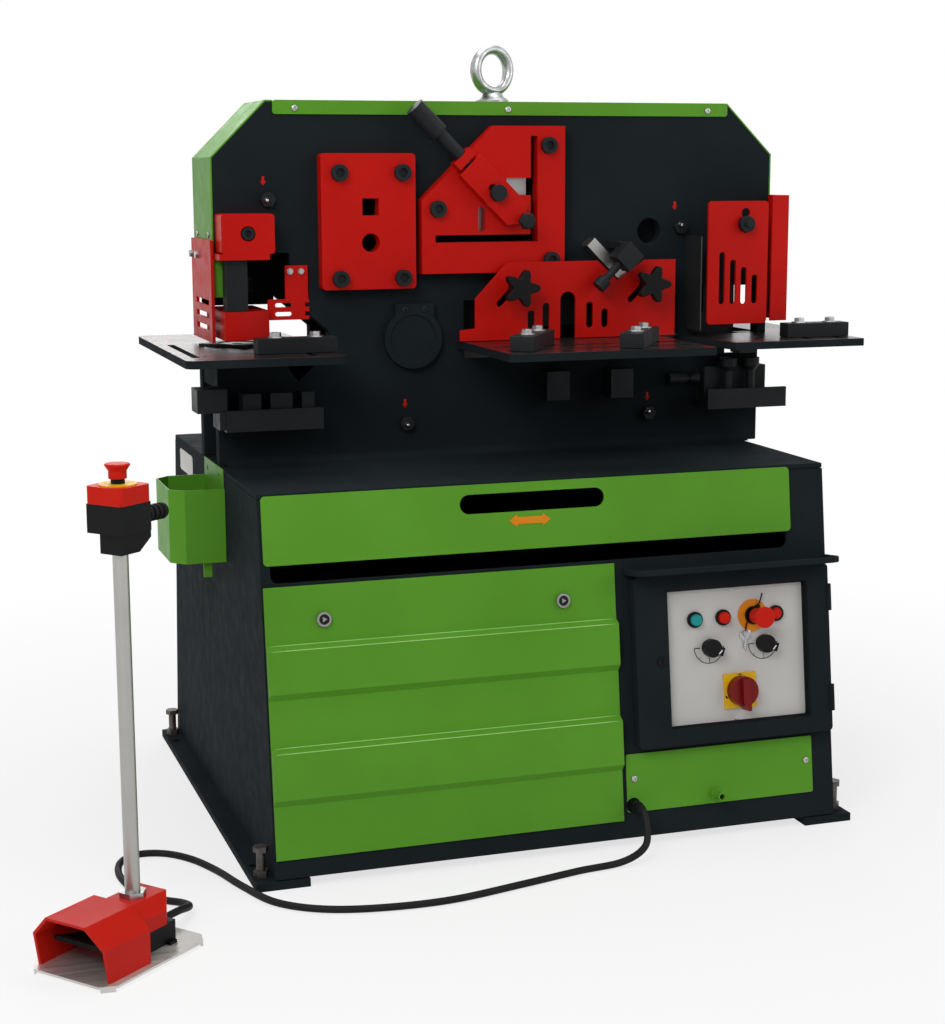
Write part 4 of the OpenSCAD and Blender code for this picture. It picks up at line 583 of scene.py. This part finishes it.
# %% Dials, pointers and plain ticks
def add_ribbon(mesh, points, width, place, thick=0.25):
    points = [Vector((*p, 0)) for p in points]
    sections = []
    for k, point in enumerate(points):
        run = points[min(k + 1, len(points) - 1)] - points[max(k - 1, 0)]
        across = Vector((-run.y, run.x, 0)).normalized() * width / 2
        lift = Vector((0, 0, thick))
        sections.append([point + across, point - across, point - across + lift, point + across + lift])
    add_stack(mesh, sections, place)


def arc(radius, start, stop, steps=40):
    turns = [math.radians(start + (stop - start) * k / steps) for k in range(steps + 1)]
    return [(radius * math.cos(t), radius * math.sin(t)) for t in turns]


def on_panel(control, out=PANEL_OUT):
    return facing(on_front(*control, out) / MM, OUTWARD)


dials = bmesh.new()
for control in SELECTORS:
    add_ribbon(dials, arc(30, 180, 360), 1.5, on_panel(control))
    add_ribbon(dials, [(-30, 0), (-18, 0)], 1.5, on_panel(control))
    add_ribbon(dials, [(30, 0), (18, 0)], 1.2, on_panel(control))
    add_ribbon(dials, [(0, -30), (0, -18)], 1.0, on_panel(control))
    for turn_mark in (225, 315):
        t = math.radians(turn_mark)
        tick = [(reach * math.cos(t), reach * math.sin(t)) for reach in (25, 29)]
        add_ribbon(dials, tick, 0.8, on_panel(control))
add_ribbon(dials, [(-31, -9), (-27, -13)], 3.2, on_panel(ISOLATOR, 14))
add_ribbon(dials, [(-3, 30.5), (3, 30.5)], 2.2, on_panel(ISOLATOR, 14))
keep("dial_marks", dials, black_ink, "control_door")

NOSE_TURN, KNOB_TOP = math.radians(-20), 31.3
nose = Vector((math.cos(NOSE_TURN), math.sin(NOSE_TURN)))
side = Vector((-math.sin(NOSE_TURN), math.cos(NOSE_TURN)))
for control, body in zip(SELECTORS, ("selector_left", "selector_right")):
    pointer = bmesh.new()
    add_ribbon(pointer, [tuple(nose * 14 - side * 7), tuple(nose * 18 + side * 2)], 2.4,
               on_panel(control, KNOB_TOP))
    keep(body + "_pointer", pointer, white_ink, body)

# %% [markdown]
# ## Spare keys
# A pair of flat keys hangs from the collar of the emergency stop on a plastic tie. A key is a plate
# with a round bow, a blade and a hole; its outline, without the hole, is drawn once and given a thickness.


# %% Keys and their tie
def add_plate(mesh, outline, low, high, place, chamfer=0.3):
    middle = sum((Vector(p) for p in outline), Vector((0, 0))) / len(outline)
    inner = [middle + (Vector(p) - middle) * 0.97 for p in outline]
    rows = [[Vector((*p, low)) for p in outline], [Vector((*p, high - chamfer)) for p in outline],
            [Vector((*p, high)) for p in inner]]
    add_stack(mesh, rows, place)


KEY = [(-2, 0), (-2, -7), (-3.2, -9), (-2, -11), (-3.2, -14), (-2, -18), (0, -21), (2, -18), (2, 0), (5, 2), (7, 6),
       (7, 11), (4, 15), (-4, 15), (-7, 11), (-7, 6), (-5, 2)]
keys = bmesh.new()
add_plate(keys, KEY, 0.4, 2.2, on_panel((366, 368)) @ Matrix.Rotation(math.radians(8), 4, "Z"))
add_plate(keys, KEY, 2.3, 4.0, on_panel((371, 371)) @ Matrix.Rotation(math.radians(-14), 4, "Z"))
keep("spare_keys", keys, zinc, "control_door")

tie = bmesh.new()
add_stack(tie, [ring(15.2, 4), ring(17.2, 4), ring(17.4, 5), ring(17.4, 7.6), ring(17.0, 8.2), ring(15.2, 8.2)],
          on_panel(ESTOP))
add_ribbon(tie, [(-13, -11), (-16, -20), (-17, -29)], 2.2, on_panel(ESTOP, PANEL_OUT + 4.1), 1.2)
add_ribbon(tie, [(9, 16), (13, 24), (16, 32), (19, 41)], 2.4, on_panel(ESTOP, PANEL_OUT + 6), 1.2)
add_ribbon(tie, [(6, 15), (12, 18)], 6.5, on_panel(ESTOP, PANEL_OUT + 4), 5.5)
keep("key_tie", tie, black_plastic, "control_door")

# %% [markdown]
# ## Plates and arrows
# A bare rating plate is riveted to the left panel, and a plain two-headed arrow under the long slot
# shows which way the stroke goes. Both are thin sheets cut to an outline.

# %% Bare plate and plain arrows
plate = bmesh.new()
plate_spot = touch(["base_frame", "base_top"], (ASIDE, 278, 648), RIGHT)
plate_place = facing(plate_spot, -RIGHT)
add_plate(plate, rounded(72, 22, 8), 0, 1.0, plate_place)
for x in (-66, 66):
    for y in (-16, 16):
        add_stack(plate, [ring(2.4, 1), ring(2.2, 1.7), ring(1.2, 2.3)],
                  plate_place @ Matrix.Translation((x * MM, y * MM, 0)))
keep("rating_plate", plate, aluminium, "machine")

ARROW = [(-40, 0), (-25, 11), (-25, 6.4), (25, 6.4), (25, 11),
         (40, 0), (25, -11), (25, -6.4), (-25, -6.4), (-25, -11)]
stroke_arrow = bmesh.new()
arrow_spot = touch(["front_covers"], on_front(-49, 617, OFF_SLOPE) / MM, -OUTWARD)
add_plate(stroke_arrow, ARROW, -0.6, 1.0, facing(arrow_spot, OUTWARD), 0.2)
keep("stroke_arrow", stroke_arrow, orange_plastic, "machine")

oil_arrows = bmesh.new()
for x, z in ((388, 1172), (-180, 796), (333, 790), (-452, 1225)):
    spot = touch(["front_plate"], (x, AHEAD, z), BACK)
    add_plate(oil_arrows, [(0, -9), (6, -1), (2.4, -1), (2.4, 8), (-2.4, 8), (-2.4, -1), (-6, -1)], 0, 0.3,
              facing(spot, FRONT), 0.1)
keep("oil_arrows", oil_arrows, red_plastic, "machine")

# %% [markdown]
# ### Grease nipples
# Each black hexagon under an oil mark takes a grease nipple: a short cone, a neck and a bright ball.
# It is one stack of rings, and it stands on the hexagon where a line from the front meets it.

# %% Nipples on the hexagons
nipples = bmesh.new()
for x, z in ((-450, 1189), (394, 1134), (328, 761), (-181, 756)):
    spot = touch(["frame_fittings", "front_plate"], (x, AHEAD, z), BACK)
    add_stack(nipples, [ring(5.4, -1), ring(5.4, 2), ring(3.6, 5), ring(2.5, 7), ring(2.4, 8.5), ring(3.2, 10),
                        ring(3.4, 11.4), ring(2.7, 13), ring(1.2, 13.8)], facing(spot, FRONT))
keep("grease_nipples", nipples, zinc, "machine")

# %% [markdown]
# ### Painted shadow round the panel
# A dark band round the grey panel inside the door's window paints the shadow of the gap round it. The band
# is a ribbon that runs once round a rectangle with rounded corners, laid on the panel 8 mm inside its hidden edge.

# %% Painted shadow band
HIDDEN_EDGE, SHADOW_BAND_INSET, SHADOW_BAND_CORNER = 8, 2, 5
flat = [on_slope(v.co / MM) for v in nodes["control_panel"].data.vertices]
left, right = min(f[0] for f in flat) + HIDDEN_EDGE, max(f[0] for f in flat) - HIDDEN_EDGE
low, high = min(f[1] for f in flat) + HIDDEN_EDGE, max(f[1] for f in flat) - HIDDEN_EDGE
half_w = (right - left) / 2 - SHADOW_BAND_INSET
half_h = (high - low) / 2 / math.cos(LEAN) - SHADOW_BAND_INSET
loop = rounded(half_w, half_h, SHADOW_BAND_CORNER)
shadow_band = bmesh.new()
# painted shadow: a dark band for the gap between the panel and the door
add_ribbon(shadow_band, loop + loop[:2], 4.5, on_panel(((left + right) / 2, (low + high) / 2)), 1.4)
keep("panel_shadow_band", shadow_band, cord_rubber, "control_door")
print("shadow_band", round(half_w * 2), round(half_h * 2))

# %% [markdown]
# ### Notch guard
# The guard is a laser-cut plate with a keyhole and four slots that grow shorter to the right. A stack
# of rings can't leave holes, so the loops of the outline, the slots and the keyhole are filled between
# with triangles, then pulled up to the plate's thickness. It stands for the plainer solid.


# %% Slotted plate
def loop_slot(x, low, high, r, steps=10):
    turns = [math.pi * k / steps for k in range(steps + 1)]
    return [(x + r * math.cos(t), high + r * math.sin(t)) for t in turns] + [
        (x - r * math.cos(t), low - r * math.sin(t)) for t in turns]


def cut_plate(loops, thick, place):
    mesh = bmesh.new()
    edges = []
    for points in loops:
        corners = [mesh.verts.new(Vector((x, y, -thick / 2)) * MM) for x, y in points]
        edges += [mesh.edges.new(pair) for pair in zip(corners, corners[1:] + corners[:1])]
    bmesh.ops.triangle_fill(mesh, use_beauty=True, edges=edges)
    grown = bmesh.ops.extrude_face_region(mesh, geom=mesh.faces[:])
    lifted = [part for part in grown["geom"] if isinstance(part, bmesh.types.BMVert)]
    bmesh.ops.translate(mesh, vec=(0, 0, thick * MM), verts=lifted)
    bmesh.ops.transform(mesh, matrix=place, verts=mesh.verts)
    return mesh


low, high = (Vector(c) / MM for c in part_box("notch_guard"))
wide, tall, thick = high.x - low.x, high.z - low.z, high.y - low.y
STUD_X, STUD_Z = 81, tall - 45
FIRST_SLOT, SLOT_PITCH, SLOT_RADIUS, SLOT_END = 31, 24, 6.3, 6
SLOT_FOOT, SLOT_TOP, SLOT_STEP = 0.1625, 0.5875, 0.0625
outline = [(x + wide / 2, y + tall / 2) for x, y in rounded(wide / 2, tall / 2, 8)]
slots = [loop_slot(FIRST_SLOT + SLOT_PITCH * k, SLOT_FOOT * tall + SLOT_END,
                   tall * (SLOT_TOP - SLOT_STEP * k) - SLOT_END, SLOT_RADIUS) for k in range(4)]
r_big, r_small = 9.5, 7
key = [(STUD_X + r_small * math.cos(t), STUD_Z - 11 + r_small * math.sin(t))
       for t in (math.pi + math.pi * k / 12 for k in range(13))]
key += [(STUD_X + r_big * math.cos(t), STUD_Z + 22 + r_big * math.sin(t))
        for t in (math.radians(-42 + 264 * k / 18) for k in range(19))]
guard_mesh = cut_plate([outline, *slots, key], thick, facing((low.x, (low.y + high.y) / 2, low.z), FRONT))
notch_plate = keep("notch_guard_plate", guard_mesh, red_paint, "notch_guard")
edge_round = notch_plate.modifiers.new("round", "BEVEL")
edge_round.width, edge_round.segments = 0.9 * MM, 2
edge_round.limit_method, edge_round.angle_limit = "ANGLE", math.radians(50)
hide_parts("notch_guard")
print("notch guard", round(wide), round(tall), round(thick, 1), len(notch_plate.data.polygons))

# %% [markdown]
# ### End cover lip
# The green end cover is folded round the front edge of the plates, and its lip runs on down past the
# red holder. It is a strip of sheet, a stack of three outlines with the last one drawn in.

# %% Lip
low, high = (Vector(c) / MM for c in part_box("top_cover"))
lip_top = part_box("stripper")[1][2] / MM - 85
lip = bmesh.new()
add_plate(lip, [(0, 0), (20, 0), (20, lip_top - low.z), (0, lip_top - low.z)], -0.5, 2.5,
          facing((low.x, low.y + 3, low.z), FRONT))
keep("end_cover_lip", lip, green_paint, "machine")
print("lip", round(lip_top - low.z))

# %% [markdown]
# ## Quarter-turn locks
# The service cover is held by two round locks with a three-sided post in a recess. A rim, a dark floor
# and the post are three stacks of rings, and all of them turn with the lock.

# %% Lock rims and posts
for name in ("cover_lock_left", "cover_lock_right"):
    points = [v.co / MM for v in nodes[name].data.vertices]
    furthest = max(on_slope(point)[2] for point in points)
    front = [point for point in points if on_slope(point)[2] > furthest - 0.05]
    face = sum(front, Vector()) / len(front)
    rim, recess = bmesh.new(), bmesh.new()
    add_stack(rim, [ring(13.6, -1), ring(13.6, 0.8), ring(12.9, 1.8), ring(9.4, 2.0), ring(8.6, 0.4)],
              facing(face, OUTWARD))
    add_stack(rim, [ring(2.9, 0.3, 3), ring(2.9, 1.6, 3), ring(2.5, 2.0, 3)], facing(face, OUTWARD))
    add_stack(recess, [ring(8.8, 0.1), ring(8.8, 0.42), ring(8.4, 0.5)], facing(face, OUTWARD))
    keep(name + "_rim", rim, ground_steel, name)
    keep(name + "_recess", recess, black_oxide, name)

# %% [markdown]
# ## Painted highlights on the folds
# On the two folds each bend shows as a fine pale line, a painted highlight where the bend catches the light.
# The lines are slim beads along the bends, sections of eight points that thin out at both ends.

# %% Beads on the folds
FOLDS = ((426.1, 3.5), (417.8, 15.5), (247.3, 3.5), (238.9, 15.5))
FOLD_LEFT, FOLD_LENGTH, FOLD_STEPS = -540, 645, 22
beads = bmesh.new()
for z, out in FOLDS:
    rows = []
    for k in range(FOLD_STEPS + 1):
        middle = on_front(FOLD_LEFT + FOLD_LENGTH * k / FOLD_STEPS, z, out) / MM
        r = 0.9 if 0 < k < FOLD_STEPS else 0.3
        rows.append([middle + (UPSLOPE * math.cos(a) + OUTWARD * math.sin(a)) * r
                     for a in (math.tau * j / 8 for j in range(8))])
    add_stack(beads, rows, Matrix.Identity(4))
# pale beads that paint the highlights on the bends
keep("fold_highlight_beads", beads, fold_highlight_green, "lower_cover", 60)
print("beads", len(FOLDS))

# %% [markdown]
# ## Hold-down knob
# A dark knob sits on the low end of the red hold-down bar. It is a stack of rings with a waist, placed
# where a line from the front meets the bar, and it slides with the bar.

# %% Knob on the bar
knob = bmesh.new()
spot = touch(["hold_down_bar"], (50, AHEAD, 1146), BACK)
add_stack(knob, [ring(9, -2), ring(9, 4), ring(13.5, 6), ring(15, 8, 6), ring(15, 17, 6), ring(13, 20),
                 ring(5, 20.6)], facing(spot, FRONT))
keep("hold_down_knob", knob, black_oxide, "hold_down_bar")
print("knob at", [round(v) for v in spot])

# %% [markdown]
# ## Lifting eye
# The forged eye is fatter from front to back than across, swells where it meets its shoulder and is
# screwed in at an angle. A torus with one radius can't do that, so the section is turned round the
# ring and grows near the foot.

# %% Forged eye
EYE_MIDDLE, EYE_TURN, EYE_RADIUS = Vector((32, 20, 1437)), math.radians(18.6), 40
EYE_ACROSS, EYE_DEEP = 10, 13
FOOT_SWELL, SWELL_REACH = 0.45, 0.55
eye = bmesh.new()
around, section_steps = 72, 28
grid = []
for k in range(around):
    t = math.tau * k / around
    from_foot = min(abs(t - 1.5 * math.pi), abs(t + 0.5 * math.pi))
    swell = 1 + FOOT_SWELL * math.exp(-(from_foot / SWELL_REACH) ** 2)
    row = []
    for j in range(section_steps):
        u = math.tau * j / section_steps
        reach = EYE_RADIUS + EYE_ACROSS * math.cos(u)
        point = Vector((reach * math.cos(t), EYE_DEEP * swell * math.sin(u), reach * math.sin(t)))
        row.append(eye.verts.new((EYE_MIDDLE + Matrix.Rotation(EYE_TURN, 3, "Z") @ point) * MM))
    grid.append(row)
for k in range(around):
    for j in range(section_steps):
        k2, j2 = (k + 1) % around, (j + 1) % section_steps
        eye.faces.new((grid[k][j], grid[k2][j], grid[k2][j2], grid[k][j2]))
foot = touch(["top_cover"], (90, 20, 1700), DOWN).z
add_stack(eye, [ring(32, 0), ring(33, 1), ring(33, 6), ring(30, 9), ring(24, 12), ring(21, 17), ring(17, 22)],
          facing((EYE_MIDDLE.x, EYE_MIDDLE.y, foot), -DOWN))
lifting_eye = keep("lifting_eye", eye, zinc, "machine", 40)
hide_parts("eye_bolt")

# %% [markdown]
# ## Painted shade in the tool openings
# Behind the tool openings a thin dark rubber sheet hangs inside the back plate, where the openings show
# only deep shade. Cloth simulation suits soft fabric; stiff rubber only waves a little, so its points
# are moved one by one and the sheet gets a real thickness.


# %% Dark sheets inside the back plate
WAVE_HEIGHT, WAVE_RATE = 0.9, 0.05


def hang_shade_sheet(name, left, right, low, high, depth=76.5, thick=2.0):
    mesh = bmesh.new()
    columns, rows = max(6, round((right - left) / 12)), max(6, round((high - low) / 16))
    across = [left + (right - left) * i / columns for i in range(columns + 1)]
    faces = []
    for lift in (0, thick):
        side = []
        for r in range(rows + 1):
            waves = [WAVE_HEIGHT * math.sin(WAVE_RATE * x) * (1 - r / rows) for x in across]
            side.append([mesh.verts.new(Vector((x, depth + lift + wave, low + (high - low) * r / rows)) * MM)
                         for x, wave in zip(across, waves)])
        faces.append(side)
    for side in faces:
        for r in range(rows):
            for i in range(columns):
                mesh.faces.new((side[r][i], side[r][i + 1], side[r + 1][i + 1], side[r + 1][i]))
    near, far = faces
    rim = [(0, i) for i in range(columns)] + [(r, columns) for r in range(rows)]
    rim += [(rows, i) for i in range(columns, 0, -1)] + [(r, 0) for r in range(rows, 0, -1)]
    for (r, i), (r2, i2) in zip(rim, rim[1:] + rim[:1]):
        mesh.faces.new((near[r][i], near[r2][i2], far[r2][i2], far[r][i]))
    piece = keep(name, mesh, tread_rubber, "machine", 50)


# painted shade: dark sheets where the tool openings show only deep shade
hang_shade_sheet("shade_sheet_plate", -68, 408, 884, 1004)
hang_shade_sheet("shade_sheet_angle", -142, 106, 1090, 1328)
hang_shade_sheet("shade_sheet_bar", -296, -208, 1078, 1212)
hang_shade_sheet("shade_sheet_notch", 424, 596, 880, 1022)
hang_shade_sheet("shade_sheet_punch", -546, -404, 985, 1096)

# %% [markdown]
# ## Weld and treads
# Where the head stands on the cabinet the joint is filled with a smooth hollow bead, and the treadle
# has cross ribs so that a boot does not slip. Both are one short section drawn along a line.

# %% Hollow bead and treads
BEAD = 15
section = [(0, 0), (-BEAD, 0)]
section += [(-BEAD + BEAD * math.sin(math.radians(a)), BEAD - BEAD * math.cos(math.radians(a)))
            for a in range(15, 91, 15)]
bead = bmesh.new()
head_low, head_high = (Vector(c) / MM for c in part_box("front_plate"))
rows = [[Vector((x, head_low.y + y, CABINET_TOP + z)) for y, z in section]
        for x in (head_low.x + 14, head_high.x - 40)]
add_stack(bead, rows, Matrix.Identity(4))
keep("head_bead", bead, black_paint, "machine", 60)

RIB_COUNT, FIRST_RIB, RIB_PITCH, RIB_HALF = 7, 27, 8, 52
RIB_SECTION = ((-2.2, 0), (-1.4, 1.6), (1.4, 1.6), (2.2, 0))
treads = bmesh.new()
across = Vector((math.cos(PEDAL_TURN), math.sin(PEDAL_TURN), 0))
rib = [HEEL_WAY * y + Vector((0, 0, z)) for y, z in RIB_SECTION]
for k in range(RIB_COUNT):
    above = PEDAL_PLACE - HEEL_WAY * (FIRST_RIB + RIB_PITCH * k) + Vector((0, 0, 300))
    ends = [touch(["pedal_treadle"], above + across * s, DOWN) for s in (-RIB_HALF, RIB_HALF)]
    add_stack(treads, [[end + p for p in rib] for end in ends], Matrix.Identity(4))
keep("treadle_ribs", treads, tread_rubber, "pedal_treadle")

# %% [markdown]
# ## Floor and light
# A plain pale floor and big soft lamps show the shapes without harsh shadows. The background is white
# only for the camera and for reflections, so it adds no light to the machine. The floor fades into
# that white with distance, which leaves the shadow under the machine and hides the far edge.


# %% Lamps
def soft_lamp(name, place, aim, size, power):
    lamp = bpy.data.lights.new(name, "AREA")
    lamp.shape = "RECTANGLE"
    lamp.size, lamp.size_y = size
    lamp.energy = power
    holder = bpy.data.objects.new(name, lamp)
    scene.collection.objects.link(holder)
    holder.location = place
    holder.rotation_mode = "QUATERNION"
    holder.rotation_quaternion = (Vector(aim) - Vector(place)).to_track_quat("-Z", "Y")
    return holder


AIM = (0, 0, 0.75)
soft_lamp("key_lamp", (-2.6, -3.2, 3.4), AIM, (2.2, 2.2), 88)
soft_lamp("fill_lamp", (3.0, -2.6, 2.2), AIM, (2.0, 2.0), 30)
soft_lamp("top_lamp", (0, 0.2, 3.6), AIM, (2.6, 2.6), 48)
soft_lamp("back_lamp", (0.6, 3.4, 2.6), AIM, (2.4, 1.6), 40)
print("lamps", len(bpy.data.lights))


# %% White room
def seen_rays(tree_nodes, links):
    """One for a ray from the camera, a mirror or a glass, and nought for a ray that lights."""
    paths = tree_nodes.new("ShaderNodeLightPath")
    total = paths.outputs["Is Camera Ray"]
    for label in ("Is Glossy Ray", "Is Transmission Ray"):
        most = tree_nodes.new("ShaderNodeMath")
        most.operation = "MAXIMUM"
        links.new(total, most.inputs[0])
        links.new(paths.outputs[label], most.inputs[1])
        total = most.outputs[0]
    return total


world = bpy.data.worlds.new("studio")
scene.world = world
world.use_nodes = True
sky, sky_links = world.node_tree.nodes, world.node_tree.links
white, grey = sky["Background"], sky.new("ShaderNodeBackground")
for shade, strength in ((white, 1.0), (grey, 0.26)):
    shade.inputs["Color"].default_value = (1, 1, 1, 1)
    shade.inputs["Strength"].default_value = strength
choose = sky.new("ShaderNodeMixShader")
sky_links.new(seen_rays(sky, sky_links), choose.inputs["Fac"])
sky_links.new(grey.outputs[0], choose.inputs[1])
sky_links.new(white.outputs[0], choose.inputs[2])
sky_links.new(choose.outputs[0], sky["World Output"].inputs["Surface"])

# %% Floor that fades to white
floor_mesh = bmesh.new()
bmesh.ops.create_grid(floor_mesh, x_segments=8, y_segments=8, size=20)
floor_data = bpy.data.meshes.new("floor")
floor_mesh.to_mesh(floor_data)
floor_mesh.free()
floor = bpy.data.objects.new("floor", floor_data)
scene.collection.objects.link(floor)
floor_paint, floor_nodes, floor_links, floor_shader = new_material("floor_paint")
floor_shader.inputs["Base Color"].default_value = (0.86, 0.86, 0.86, 1)
floor_shader.inputs["Roughness"].default_value = 0.9
floor_shader.inputs["Specular IOR Level"].default_value = 0.1
floor_coords = floor_nodes.new("ShaderNodeTexCoord")
far = floor_nodes.new("ShaderNodeVectorMath")
far.operation = "LENGTH"
floor_links.new(floor_coords.outputs["Object"], far.inputs[0])
fade = floor_nodes.new("ShaderNodeMapRange")
fade.interpolation_type = "SMOOTHSTEP"
for label, value in (("From Min", 0.7), ("From Max", 2.4), ("To Min", 0.72), ("To Max", 1.0)):
    fade.inputs[label].default_value = value
floor_links.new(far.outputs["Value"], fade.inputs["Value"])
share = floor_nodes.new("ShaderNodeMath")
share.operation = "MULTIPLY"
floor_links.new(fade.outputs["Result"], share.inputs[0])
floor_links.new(seen_rays(floor_nodes, floor_links), share.inputs[1])
glow = floor_nodes.new("ShaderNodeEmission")
blend = floor_nodes.new("ShaderNodeMixShader")
floor_links.new(share.outputs[0], blend.inputs["Fac"])
floor_links.new(floor_shader.outputs[0], blend.inputs[1])
floor_links.new(glow.outputs[0], blend.inputs[2])
floor_links.new(blend.outputs[0], floor_nodes["Material Output"].inputs["Surface"])
floor_data.materials.append(floor_paint)
print("floor fades to white")
